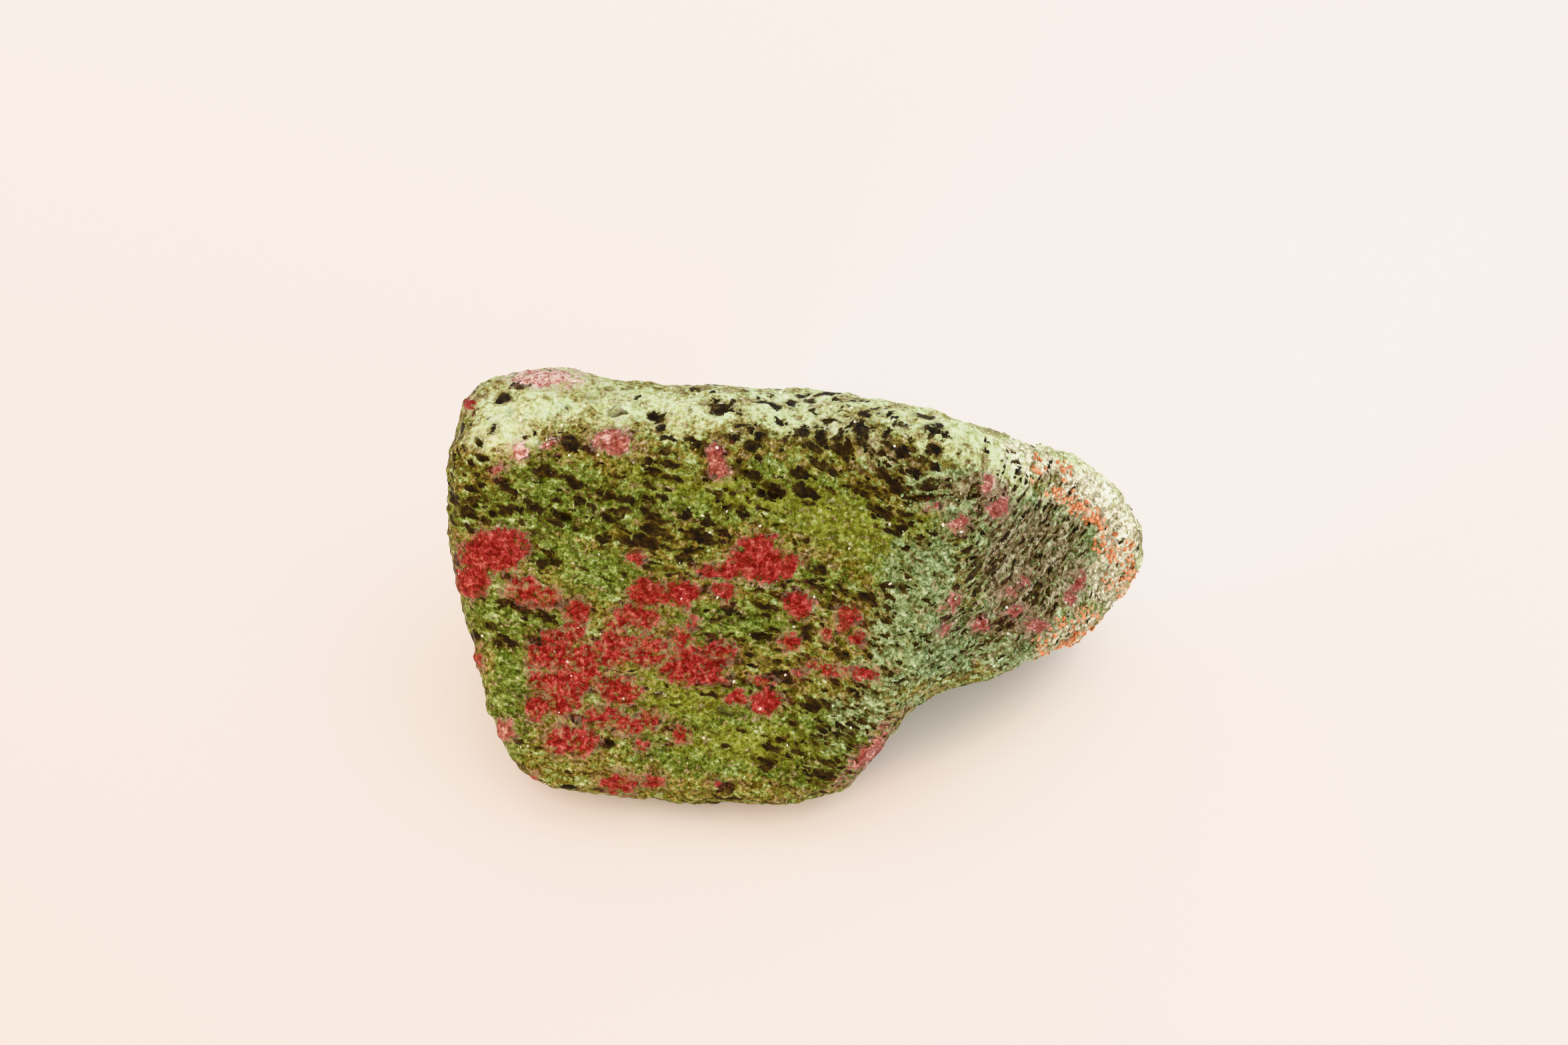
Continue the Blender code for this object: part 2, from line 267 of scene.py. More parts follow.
# The patches of each mineral and tint on the front, in rows of a Patch's fields.
FRONT = {
    Zone.RUBY: patches(
        # the left end and its top rim
        (-27.5, 16.4, 4.2, 1.1, -3), (-35.9, 13.6, 0.7, 0.7), (-30.1, 8.0, 1.0, 0.9),
        (-26.6, 8.6, 0.9, 0.7), (-32.6, 6.0, 0.9, 0.6, 20), (-35.4, -16.1, 1.0, 1.6),
        # the upper face
        (-19.5, 8.9, 2.2, 1.3, -5), (-19.4, 10.0, 1.2, 0.8), (-7.7, 7.8, 1.1, 1.2), (-7.3, 6.2, 1.2, 1.2),
        # the big ruby on the left
        (-33.2, -3.5, 3.9, 2.3), (-32.0, -2.2, 2.3, 1.3), (-35.2, -6.5, 1.9, 2.3),
        (-29.2, -7.9, 3.1, 1.5, -15), (-26.9, -8.5, 1.4, 1.3),
        # the big ruby in the middle and those beside it
        (-2.4, -4.7, 4.1, 2.1, -10), (-3.2, -2.5, 2.4, 1.3), (0.5, -4.5, 1.3, 1.0),
        (-6.3, -5.5, 1.8, 1.2), (-8.8, -5.5, 1.2, 0.8), (-6.8, -7.8, 1.3, 1.1), (-17.1, -4.0, 0.8, 0.6),
        (1.5, -9.6, 1.9, 1.7), (-15.7, -8.1, 2.2, 1.8), (-16.5, -10.6, 2.6, 1.4), (-11.5, -8.2, 1.9, 1.6),
        (-13.4, -8.6, 1.2, 0.9),
        # the chain of rubies over the lower face
        (-23.3, -10.4, 1.6, 1.4), (-23.7, -12.3, 1.3, 1.3), (-25.6, -13.5, 2.6, 1.3, -5),
        (-27.4, -15.2, 2.2, 1.5), (-24.3, -14.9, 3.0, 1.3), (-22.2, -15.4, 2.0, 1.4),
        (-19.4, -12.1, 1.3, 1.1), (-19.0, -14.5, 2.6, 2.0), (-15.2, -14.1, 2.3, 1.1),
        (-16.1, -15.4, 4.0, 1.0), (-11.7, -13.1, 1.3, 1.0), (-10.5, -11.9, 0.5, 0.8),
        (-10.5, -16.2, 3.6, 2.3, 6), (-7.4, -14.7, 2.1, 1.4), (-8.0, -17.7, 1.9, 0.9),
        (-24.6, -18.0, 2.7, 2.2), (-25.0, -20.5, 2.2, 1.8), (-22.2, -17.3, 1.7, 1.4),
        (-27.8, -18.2, 1.4, 1.1), (-28.2, -21.2, 1.6, 1.6), (-18.7, -19.1, 2.6, 1.8),
        (-20.8, -22.0, 2.2, 1.3), (-17.7, -23.2, 1.9, 1.1), (-15.2, -22.2, 1.3, 1.3),
        (-11.9, -24.1, 1.1, 1.1), (-25.4, -24.9, 1.8, 1.8), (-23.1, -25.1, 2.1, 1.8),
        (-16.1, -25.3, 0.8, 0.8), (-31.6, -23.7, 1.1, 1.2), (-29.0, -29.5, 1.2, 0.9),
        (-18.8, -29.8, 2.1, 1.2), (-14.9, -29.3, 1.3, 0.9), (-7.5, -29.8, 0.8, 0.6),
        # small ones towards the ridge
        (-2.0, -20.5, 1.8, 1.5), (-5.3, -19.9, 1.3, 0.8), (-2.6, -18.2, 1.2, 0.6), (7.3, -10.7, 1.4, 1.2),
        (8.3, -13.2, 0.9, 0.9), (6.8, -12.0, 1.0, 0.6), (5.0, -12.8, 0.9, 0.8), (0.7, -13.7, 1.1, 1.2),
        (3.2, -16.3, 1.1, 0.6), (5.2, -16.9, 2.2, 0.8, -12), (9.2, -17.5, 1.2, 0.8),
        (1.9, -17.2, 0.7, 0.5), (9.4, -26.2, 3.8, 0.8, 48),
        # dull ones on the nose
        (23.0, 4.4, 0.8, 1.0), (17.2, 1.9, 0.8, 0.6), (24.1, 1.8, 1.4, 0.9, 50),
        (20.2, -0.1, 1.3, 0.8, 30), (19.1, -9.0, 1.3, 0.8, 40), (18.5, -12.2, 1.1, 0.6, 50),
        (22.4, -11.6, 1.0, 0.9), (27.2, -7.0, 0.8, 1.0), (25.8, -8.0, 0.8, 0.6),
        (26.1, -10.0, 1.0, 0.7, 30), (33.4, -6.9, 1.3, 0.8, 60), (32.3, -8.8, 0.8, 0.9),
        (28.4, -11.7, 1.4, 0.8),
    ),
    Zone.ROSY: patches(
        (-27.5, 16.4, 6.0, 2.4, -3), (-30.5, 8.2, 4.5, 2.8, 20), (-19.5, 9.4, 3.5, 2.4),
        (-7.6, 7.0, 2.0, 2.8), (25.0, -3.0, 12.0, 12.0), (-31.0, -23.5, 2.0, 2.0),
        (9.4, -26.2, 4.5, 2.4, 48),
    ),
    Zone.DUSTY: patches(
        (-31.4, -7.2, 1.6, 1.2), (-20.5, -20.0, 10.0, 9.5), (-10.0, -15.0, 5.0, 3.0),
        (2.0, -15.0, 6.0, 4.5), (-29.5, -8.0, 3.5, 1.8),
    ),
    Zone.HORNBLENDE: patches(
        (-14.5, -1.2, 7.5, 2.0, -5), (3.3, -8.0, 8.0, 1.2, -8), (-32.6, 1.8, 3.2, 1.2),
        (9.5, 7.2, 9.0, 3.9, -22), (13.5, 0.8, 2.4, 1.8), (-26.0, 0.8, 2.2, 1.1),
        (16.0, 8.6, 2.6, 0.7, -25), (11.5, -7.8, 2.4, 0.8), (-27.0, -4.5, 1.3, 1.3),
        (-13.4, -5.3, 3.4, 0.7), (-6.3, -18.9, 4.0, 0.7, -14), (5.5, -24.0, 3.0, 0.7, 20),
        (-6.5, -30.5, 0.8, 0.7), (28.0, -8.0, 3.0, 1.6, 45), (23.5, -12.5, 2.0, 0.9, 40),
    ),
    Zone.SPOTTED: patches(
        (-20.0, 4.0, 17.0, 5.0, -5), (0.0, 7.0, 9.0, 4.5, -8), (9.0, -15.0, 3.5, 7.0),
        (-2.0, -14.0, 7.0, 5.0), (24.0, -1.0, 7.0, 4.5, -15), (-30.0, -12.0, 5.0, 3.0),
        (-35.8, 4.0, 2.2, 8.0), (-4.8, 13.2, 5.0, 1.2, -3), (10.0, 11.5, 6.0, 1.2, -17),
        (29.0, 5.6, 4.0, 1.6, -30), (24.0, -9.0, 8.0, 4.0, 30), (4.0, -25.0, 7.0, 5.0, 20),
    ),
    Zone.LIME: patches(
        (6.0, 0.5, 7.0, 2.8, -30), (-12.0, -19.9, 6.0, 1.6, -5), (17.5, -1.0, 3.0, 2.0, -20),
        (-6.0, 3.2, 8.0, 1.3, -12), (-3.0, -25.5, 6.0, 2.0, -5),
    ),
    Zone.GREEN: patches(
        (-26.0, 4.0, 5.0, 2.4, -5), (-26.9, -3.0, 2.8, 1.6), (-8.0, -21.6, 8.0, 3.0, -5),
        (-4.0, -11.5, 6.0, 1.8), (3.0, 3.5, 5.0, 1.5, -20), (-12.0, 2.0, 8.0, 1.4, -6),
        (14.5, -3.5, 3.0, 3.5), (-29.0, -11.0, 3.5, 1.6), (4.0, -25.5, 6.0, 4.0, 20),
        (-33.0, -9.5, 3.0, 4.0), (-27.0, 1.0, 8.0, 2.0, -5), (-20.0, -6.0, 4.0, 2.0),
        (-8.0, -26.5, 7.0, 1.8, -5), (-31.0, -20.0, 2.0, 6.0), (13.0, -5.0, 3.0, 4.0),
        (1.5, -6.0, 4.0, 1.5, -10),
    ),
    # pale zoisite with painted sheen: lighter along the top band and the nose rim, where they face the
    # light
    Zone.PALE: patches(
        (-13.0, 12.9, 13.5, 1.7, -3), (-26.5, 12.6, 4.0, 1.6, 10), (3.0, 11.6, 4.5, 1.2, -8),
        (17.5, 10.9, 7.5, 1.8, -24), (-32.0, 11.0, 3.4, 3.0), (25.5, 6.8, 4.0, 1.8, -30),
        (3.0, 13.8, 8.0, 1.2, -6), (-27.0, 16.2, 6.0, 1.8), (35.0, 4.4, 4.0, 1.0, -42),
        (38.6, -0.5, 0.9, 3.0),
    ),
    Zone.COOL: patches(
        (14.5, -10.5, 4.0, 8.5, -14), (21.0, -13.0, 9.0, 3.6, 18), (9.0, -21.0, 3.4, 2.4, 45),
        (21.0, 2.0, 7.0, 3.6, -18), (17.0, -4.5, 3.5, 5.0), (30.0, -2.0, 8.0, 6.0, -20),
        (28.0, -13.0, 5.0, 3.0, 30),
    ),
    Zone.BROWN: patches(
        (28.0, -4.0, 6.5, 5.0, 50), (11.5, 7.6, 2.2, 1.0, -20), (28.0, -10.0, 6.0, 3.0, 35),
        (22.5, 3.5, 4.0, 2.0, -20),
    ),
    Zone.CHALK: patches(
        (28.5, 7.0, 3.4, 1.3, -30), (34.2, 3.2, 4.0, 2.2, -40), (37.8, -2.0, 2.3, 4.6),
        (36.4, -7.4, 2.2, 2.6, 60), (33.2, -8.0, 1.9, 0.8, 55), (32.5, -12.6, 3.0, 1.0, 35),
    ),
    Zone.VEIN: patches(
        (-2.2, -7.4, 3.6, 0.20, -7), (-14.1, -19.4, 1.3, 0.22, -24), (8.5, -3.0, 2.5, 0.12, -25),
        (25.5, -1.5, 2.2, 0.26, 52), (27.6, -3.6, 3.0, 0.30, 56), (29.6, -5.2, 2.6, 0.22, 58),
        (24.6, -5.5, 2.4, 0.24, 50), (31.3, -3.4, 2.0, 0.30, 60), (30.6, -8.4, 2.4, 0.30, 52),
        (27.4, -8.2, 2.2, 0.24, 48), (33.6, -4.6, 1.8, 0.26, 62), (29.4, 2.6, 1.6, 0.22, -20),
        (31.8, -0.4, 1.5, 0.24, 55), (22.3, -8.8, 1.8, 0.20, 45), (33.0, -9.6, 1.5, 0.22, 50),
    ),
    Zone.CRUST: patches(
        (28.6, 5.9, 0.5, 1.0), (31.7, 5.6, 0.5, 0.8), (32.4, 2.4, 2.4, 0.8, -30),
        (35.0, 0.6, 1.9, 0.7, -40), (36.0, -1.6, 1.2, 0.5, 70), (37.4, -3.6, 0.5, 1.1),
        (39.0, -4.6, 0.5, 1.5), (36.9, -7.2, 0.5, 0.7), (33.6, -10.3, 1.3, 0.4, 25),
        (31.7, -11.5, 1.0, 0.4, 45), (33.0, -13.4, 1.5, 0.6, 40), (29.1, -14.2, 0.5, 0.7),
        (35.4, -11.3, 0.6, 0.4), (38.4, -7.8, 0.5, 0.9),
    ),
}


@dataclass(frozen=True)
class HiddenSides:
    """The rubies on the sides that the front plan doesn't reach, drawn from a seed.

    Attributes:
        seed: of all the random draws.
        clusters: how many groups of rubies there are.
        rubies: the fewest rubies of a group, and one more than the most.
        spread: how far a group reaches along the layers, in mm.
        ruby_radius: the smallest and the largest radius of a ruby, in mm.
        flatness: how far a group reaches upwards, for its reach along the layers.
        hidden_enough: how well hidden from the front a group's middle is at least.
        outside: the depth kept far from every ruby, in mm.
    """

    seed: int = 11
    clusters: int = 24
    rubies: tuple[int, int] = (2, 7)
    spread: float = 3.4
    ruby_radius: Span = (0.7, 2.3)
    flatness: float = 0.6
    hidden_enough: float = 0.5
    outside: float = -10.0

    def ruby_depth(self, points: np.ndarray, hidden: np.ndarray) -> np.ndarray:
        """How deep inside a ruby each point of the hidden sides is.

        Args:
            points: the skin's points in mm, one in each row.
            hidden: how well hidden from the front each point is, from 0 to 1.

        Returns:
            The depth in mm at each point, negative outside the rubies.
        """
        draw = np.random.default_rng(self.seed)
        far_off = np.flatnonzero(hidden > self.hidden_enough)
        depth = np.full(len(points), self.outside)
        for centre in points[draw.choice(far_off, self.clusters, replace=False)]:
            for _ in range(draw.integers(*self.rubies)):
                shift = draw.normal(0.0, self.spread, 3) * (1.0, 1.0, self.flatness)
                radius = draw.uniform(*self.ruby_radius)
                gap = np.linalg.norm(points - centre - shift, axis=1)
                depth = np.maximum(depth, radius - gap)
        return depth


@dataclass(frozen=True)
class Layers:
    """The rock's layers: how they dip and bend along the stone.

    Attributes:
        slopes: how steeply the layers fall towards +X in each stretch, from the square end to the tip.
        bends: where along X each stretch passes into the next, from start to end, in mm.
        wobble: how the layers wander from that.
        reach: how far to both sides of the middle the fall is worked out, in mm.
        steps: in how many steps.
    """

    slopes: tuple[float, ...] = (0.10, 0.30, -0.25, -0.75)
    bends: tuple[Span, ...] = ((-14.0, 8.0), (12.0, 20.0), (23.0, 31.0))
    wobble: Waves = Waves(16.0, 2, 3.7, 1.2)
    reach: float = 60.0
    steps: int = 240

    def place(self, points: np.ndarray) -> np.ndarray:
        """Places in the layers: two columns along them, and a third across them, in mm."""
        along = np.linspace(-self.reach, self.reach, self.steps + 1)
        slope = np.full(len(along), self.slopes[0])
        for (start, end), before, after in zip(self.bends, self.slopes, self.slopes[1:]):
            slope += (after - before) * smooth_step(along, start, end)
        fall = np.cumsum(slope) * (along[1] - along[0])
        layered = points.copy()
        layered[:, 2] += np.interp(points[:, 0], along, fall)
        layered[:, 2] += self.wobble.at(points)
        return layered


@dataclass(frozen=True)
class Bank:
    """How a tint comes and goes on the hidden sides, in banks that lie along the layers.

    Attributes:
        size: the banks' thickness in mm.
        shift: moves the pattern.
        start: the pattern's value where the tint starts.
        full: its value where the tint is full.
        nose: where along X the tint starts and is full, in mm, where it keeps to the nose.
        softness: how far the edges of its patches on the front spread.
        stretch: how many times as long as thick the banks are.
        octaves: how many ever finer waves their edges have.
    """

    size: float
    shift: float
    start: float
    full: float
    nose: Span | None = None
    softness: float = 1.0
    stretch: float = 3.0
    octaves: int = 3

    def share(self, points: np.ndarray, layered: np.ndarray) -> np.ndarray:
        """The tint's share at each point, from 0 to 1."""
        length = self.stretch * self.size
        pattern = Waves((length, length, self.size), self.octaves, self.shift).at(layered)
        share = smooth_step(pattern, self.start, self.full)
        if self.nose:
            share *= smooth_step(points[:, 0] + self.size * pattern, *self.nose)
        return share


# How each tint lies on the sides that the front plan doesn't reach.
HIDDEN_BANKS = {
    Zone.LIME: Bank(3.5, 5.5, 0.20, 0.70, softness=1.5),
    Zone.GREEN: Bank(4.0, 31.2, 0.05, 0.60),
    Zone.PALE: Bank(3.0, 47.9, 0.35, 0.75, softness=1.9),
    Zone.COOL: Bank(4.0, 21.3, -0.9, 0.0, (6.0, 20.0), 2.4),
    Zone.BROWN: Bank(4.0, 63.1, 0.15, 0.60, softness=1.8),
    Zone.CHALK: Bank(2.0, 77.7, -0.1, 0.5, (27.0, 36.0)),
    Zone.ROSY: Bank(6.0, 91.3, 0.15, 0.55),
    Zone.DUSTY: Bank(5.0, 17.9, -0.3, 0.3),
}


@dataclass(frozen=True)
class Fringe:
    """How a kind of patch ends on the front.

    Attributes:
        ragged: how far its edge wanders, in mm.
        start: how deep inside the patch its mineral starts, in mm.
        full: how deep inside the mineral is full.
    """

    ragged: float
    start: float
    full: float

    def share(self, depth: np.ndarray, ragged: np.ndarray) -> np.ndarray:
        """The mineral's share where a patch has a depth in mm and the ragged pattern a value."""
        return smooth_step(depth + self.ragged * ragged, self.start, self.full)


@dataclass
class Markings:
    """Where the stone's minerals and tints are, as one value of each for every point of its skin.

    Attributes:
        view: where the front is seen from.
        layers: the rock's layers.
        hidden_sides: the rubies of the other sides.
        sight_edge: how squarely the skin faces the eye where the front's markings start and are full.
        beyond: the depth that a marking loses on the sides where it doesn't count, in mm.
        deepest_kept: the greatest depth that is kept, inside and outside a marking, in mm.
        ragged: the pattern that makes edges wander.
        ruby_ragged: how far a ruby's edge wanders, in mm.
        crust_ragged: how far the crust's edge wanders, in mm.
        bands: how the bands of hornblende end.
        spots: how its spotted ground ends.
        tints: how the tints end.
        dense: the density of hornblende in its bands.
        sparse: its density in the spotted ground.
        banked: how its density swings along the hidden sides.
        usual: its usual density there.
        banked_limits: its least and its greatest density there.
        carried_over: how much of the hidden sides' density the front has at least.
    """

    view: FrontView
    layers: Layers = field(default_factory=Layers)
    hidden_sides: HiddenSides = field(default_factory=HiddenSides)
    sight_edge: Span = (-0.35, -0.05)
    beyond: float = 4.0
    deepest_kept: float = 3.0
    ragged: Waves = Waves(2.4, 3, 9.1)
    ruby_ragged: float = 0.35
    crust_ragged: float = 0.4
    bands: Fringe = Fringe(0.8, -1.1, 0.6)
    spots: Fringe = Fringe(1.5, -2.0, 1.0)
    tints: Fringe = Fringe(0.9, -1.6, 1.0)
    dense: float = 0.74
    sparse: float = 0.34
    banked: Waves = Waves((15.0, 15.0, 4.0), 3, 21.3, 0.34)
    usual: float = 0.20
    banked_limits: Span = (0.05, 0.7)
    carried_over: float = 0.3

    def chart(self, points: np.ndarray, normals: np.ndarray) -> dict[str, np.ndarray]:
        """Works out the markings.

        Args:
            points: the skin's points in mm, one in each row.
            normals: the skin's outward normals.

        Returns:
            The skin's attributes by name: a depth in mm for rubies, crust and veins, a density from
            0 to 1 for hornblende, a share for each tint, and the layered places.
        """
        plan = self.view.plan(points)
        shown = smooth_step(self.view.facing(points, normals), *self.sight_edge)
        layered = self.layers.place(points)
        ragged = self.ragged.at(points)
        depths = {zone: self._deepest(placed, plan) for zone, placed in FRONT.items()}
        front_only = {
            zone: depths[zone] - self.beyond * (1.0 - shown) for zone in (Zone.RUBY, Zone.CRUST, Zone.VEIN)
        }
        hidden_ruby = self.hidden_sides.ruby_depth(points, 1.0 - shown) - self.beyond * shown
        ruby = np.maximum(front_only[Zone.RUBY], hidden_ruby)
        chart = {
            Zone.RUBY.value: self._kept(ruby + self.ruby_ragged * ragged),
            Zone.CRUST.value: self._kept(front_only[Zone.CRUST] + self.crust_ragged * ragged),
            Zone.VEIN.value: self._kept(front_only[Zone.VEIN]),
            Zone.HORNBLENDE.value: self._hornblende(depths, ragged, layered, shown),
            "layered": layered,
        }
        for zone, bank in HIDDEN_BANKS.items():
            front = self.tints.share(depths[zone] / bank.softness, ragged)
            hidden = bank.share(points, layered)
            chart[zone.value] = hidden + (front - hidden) * shown
        return chart

    def _hornblende(
        self, depths: dict[Zone, np.ndarray], ragged: np.ndarray, layered: np.ndarray, shown: np.ndarray
    ) -> np.ndarray:
        """The density of hornblende: bands and spotted ground on the front, and banks elsewhere."""
        bands = self.bands.share(depths[Zone.HORNBLENDE], ragged)
        spots = self.spots.share(depths[Zone.SPOTTED], ragged)
        banked = np.clip(self.usual + self.banked.at(layered), *self.banked_limits)
        front = np.maximum(self.dense * bands, self.sparse * spots)
        front = np.maximum(front, self.carried_over * banked)
        return banked + (front - banked) * shown

    def _kept(self, depth: np.ndarray) -> np.ndarray:
        """A depth in mm, kept within its limits."""
        return np.clip(depth, -self.deepest_kept, self.deepest_kept)

    @staticmethod
    def _deepest(placed: tuple[Patch, ...], plan: np.ndarray) -> np.ndarray:
        """How deep inside the nearest patch each place is, in mm."""
        return np.max([patch.depth(plan) for patch in placed], axis=0)


@dataclass(frozen=True)
class Cloud:
    """A soft noise of a finish.

    Attributes:
        size: the size of its largest clouds in mm, or one for each axis.
        detail: how many finer noises it carries.
        harsh: how strong the finer noises are, from 0 to 1.
    """

    size: Size
    detail: float = 2.0
    harsh: float = 0.5


class Signal:
    """A shader socket that takes part in arithmetic: each operator adds its Math node."""

    def __init__(self, bench: "NodeBench", socket: bpy.types.NodeSocket) -> None:
        """Wraps a socket of the bench's material."""
        self.bench = bench
        self.socket = socket

    def __add__(self, other: "Signal | float") -> "Signal":
        """Adds a number or another signal."""
        return self.bench.math("ADD", self, other)

    __radd__ = __add__

    def __sub__(self, other: "Signal | float") -> "Signal":
        """Takes off a number or another signal."""
        return self.bench.math("SUBTRACT", self, other)

    def __rsub__(self, other: float) -> "Signal":
        """Takes this signal off a number."""
        return self.bench.math("SUBTRACT", other, self)

    def __mul__(self, other: "Signal | float") -> "Signal":
        """Multiplies by a number or another signal."""
        return self.bench.math("MULTIPLY", self, other)

    __rmul__ = __mul__

    def swing(self, reach: float) -> "Signal":
        """How far this noise is from its middle, times a reach."""
        return (self - MIDDLE) * reach

    def rise(self, low: float, high: float) -> "Signal":
        """A smooth rise from 0 where this signal is low to 1 where it is high."""
        return self.bench.node(
            "ShaderNodeMapRange",
            {"interpolation_type": "SMOOTHSTEP"},
            {"Value": self, "From Min": low, "From Max": high},
        )


class NodeBench:
    """A material under construction.

    Attributes:
        FIRST_COLOUR, SECOND_COLOUR: the colour sockets of a Mix node.
        MIXED_COLOUR: its colour output.
    """

    FIRST_COLOUR = 6
    SECOND_COLOUR = 7
    MIXED_COLOUR = 2

    def __init__(self, name: str) -> None:
        """Starts a material with a Principled shader and nothing on its sockets."""
        self.material = bpy.data.materials.new(name)
        self.material.use_nodes = True
        self.tree = self.material.node_tree
        self.shader = self.tree.nodes["Principled BSDF"]

    def node(
        self, kind: str, settings: dict[str, Any], inputs: dict[str | int, Any], output: str | int = 0
    ) -> Signal:
        """Adds a node.

        Args:
            kind: the node's type.
            settings: its settings by name, and "stops" for a ramp's colours by their positions.
            inputs: a value or a signal for each socket, by name or number.
            output: the output that is wanted.

        Returns:
            That output as a signal.
        """
        node = self.tree.nodes.new(kind)
        for name, value in settings.items():
            if name == "stops":
                self._set_stops(node.color_ramp, value)
            else:
                setattr(node, name, value)
        for name, value in inputs.items():
            self._feed(node.inputs[name], value)
        return Signal(self, node.outputs[output])

    def dressed(self, sockets: dict[str, Any]) -> bpy.types.Material:
        """The finished material, once the shader's sockets have their values or signals by name."""
        for name, value in sockets.items():
            self._feed(self.shader.inputs[name], value)
        return self.material

    def _feed(self, socket: bpy.types.NodeSocket, value: Any) -> None:
        """Links a signal to a socket, or sets the socket's own value."""
        if isinstance(value, Signal):
            self.tree.links.new(value.socket, socket)
        elif isinstance(value, tuple) and len(value) < len(socket.default_value):
            socket.default_value = (*value, 1.0)
        else:
            socket.default_value = value

    @staticmethod
    def _set_stops(ramp: bpy.types.ColorRamp, stops: dict[float, Colour]) -> None:
        """Gives a ramp its colours."""
        while len(ramp.elements) < len(stops):
            ramp.elements.new(1.0)
        for element, (position, colour) in zip(ramp.elements, sorted(stops.items())):
            element.position = position
            element.color = (*colour, 1.0)

    def math(self, operation: str, first: Signal | float, second: Signal | float) -> Signal:
        """One Math node."""
        return self.node("ShaderNodeMath", {"operation": operation}, {0: first, 1: second})

    def vector(self, operation: str, first: Signal, second: Signal | Colour) -> Signal:
        """One Vector Math node of two vectors."""
        return self.node("ShaderNodeVectorMath", {"operation": operation}, {0: first, 1: second})

    def sway(self, colour: Signal, reach: Colour) -> Signal:
        """A random colour made a push to either side, with a reach along each axis."""
        return self.vector("MULTIPLY", self.vector("SUBTRACT", colour, (MIDDLE,) * 3), reach)

    def blend(self, share: Signal | float, first: Signal | Colour, second: Signal | Colour) -> Signal:
        """The first colour where the share is 0, and the second where it is 1."""
        colours = {self.FIRST_COLOUR: first, self.SECOND_COLOUR: second}
        return self.node(
            "ShaderNodeMix", {"data_type": "RGBA"}, {"Factor": share, **colours}, self.MIXED_COLOUR
        )

    def ramp(self, value: Signal, stops: dict[float, Colour]) -> Signal:
        """A colour read from stops."""
        return self.node("ShaderNodeValToRGB", {"stops": stops}, {"Fac": value})

    def attribute(self, name: str, output: str = "Fac") -> Signal:
        """An attribute of the piece."""
        return self.node("ShaderNodeAttribute", {"attribute_name": name}, {}, output)

    def place_in_mm(self) -> Signal:
        """The place on the piece, in mm."""
        place = self.node("ShaderNodeTexCoord", {}, {}, "Object")
        return self.node("ShaderNodeMapping", {}, {"Vector": place, "Scale": (1 / MM,) * 3})

    def scaled(self, place: Signal, size: Size) -> Signal:
        """Places measured in patterns of a size, or of one size for each axis."""
        sizes = size if isinstance(size, tuple) else (size, size, size)
        return self.vector("DIVIDE", place, sizes)

    def cloud(self, place: Signal, cloud: Cloud, output: str = "Fac") -> Signal:
        """A soft noise from 0 to 1 at places in mm, or a random colour that changes as softly."""
        inputs = {
            "Vector": self.scaled(place, cloud.size), "Scale": 1.0, "Detail": cloud.detail,
            "Roughness": cloud.harsh,
        }
        return self.node("ShaderNodeTexNoise", {}, inputs, output)

    def cells(self, place: Signal, size: Size, output: str = "Color", feature: str = "F1") -> Signal:
        """Packed cells.

        Args:
            place: the places in mm.
            size: the cells' size in mm, or one size for each axis.
            output: "Color" for a random colour in each cell, or "Distance".
            feature: what a distance is measured to: "F1" for a cell's heart, or "DISTANCE_TO_EDGE".

        Returns:
            The output that is wanted.
        """
        inputs = {"Vector": self.scaled(place, size), "Scale": 1.0}
        return self.node("ShaderNodeTexVoronoi", {"feature": feature}, inputs, output)

    def channel(self, colour: Signal, output: str) -> Signal:
        """One channel of a colour."""
        return self.node("ShaderNodeSeparateColor", {}, {"Color": colour}, output)


class SkinBench(NodeBench):
    """The skin's material under construction, with the patterns that its minerals share.

    Attributes:
        place: the places in mm.
        layered: the places in the rock's layers, in mm.
        grains: a random colour for each grain of zoisite.
        fuzz: the fine noise of sugary grains.
        lobes: the noise that makes outlines ragged.
    """

    def __init__(self, name: str, grain: float, fuzz: Cloud, lobes: Cloud) -> None:
        """Starts the material from its grains' size in mm and its two shared noises."""
        super().__init__(name)
        self.place = self.place_in_mm()
        self.layered = self.attribute("layered", "Vector")
        self.grains = self.cells(self.place, grain)
        self.fuzz = self.cloud(self.place, fuzz)
        self.lobes = self.cloud(self.place, lobes)

    def zone(self, zone: Zone) -> Signal:
        """How much of a zone there is, or how deep inside it a place is."""
        return self.attribute(zone.value)

    def outline(self, zone: Zone, lobed: float, fuzzy: float) -> Signal:
        """How deep a place is inside a zone, in mm, once lobes and fuzz have moved its outline so far."""
        return self.zone(zone) + self.lobes.swing(lobed) + self.fuzz.swing(fuzzy)


@dataclass(frozen=True)
class Tones:
    """A mineral's colours, from its darkest grains to its lightest.

    Attributes:
        colours: the colours.
        steps: the tones that they stand at.
        strays: how readily a tint shows outside its own patches, from 0 to 1.
        pull: how much more of it there is inside them.
    """

    colours: tuple[Colour, ...]
    steps: tuple[float, ...] = (0.08, 0.30, 0.50, 0.70, 0.92)
    strays: float = 0.0
    pull: float = 0.75

    def over(self, bench: NodeBench, tone: Signal) -> Signal:
        """The colour at each tone."""
        return bench.ramp(tone, dict(zip(self.steps, self.colours)))


COOL = Tones((
    (0.030, 0.037, 0.015), (0.093, 0.135, 0.048), (0.177, 0.251, 0.107), (0.285, 0.370, 0.203),
    (0.452, 0.529, 0.379),
))
CHALKY = Tones((
    (0.122, 0.088, 0.040), (0.252, 0.219, 0.119), (0.400, 0.370, 0.239), (0.532, 0.522, 0.389),
    (0.911, 0.951, 0.864),
))
ORANGE = Tones((
    (0.321, 0.095, 0.034), (0.426, 0.149, 0.060), (0.552, 0.229, 0.112), (0.785, 0.424, 0.249),
    (0.608, 0.478, 0.341),
))


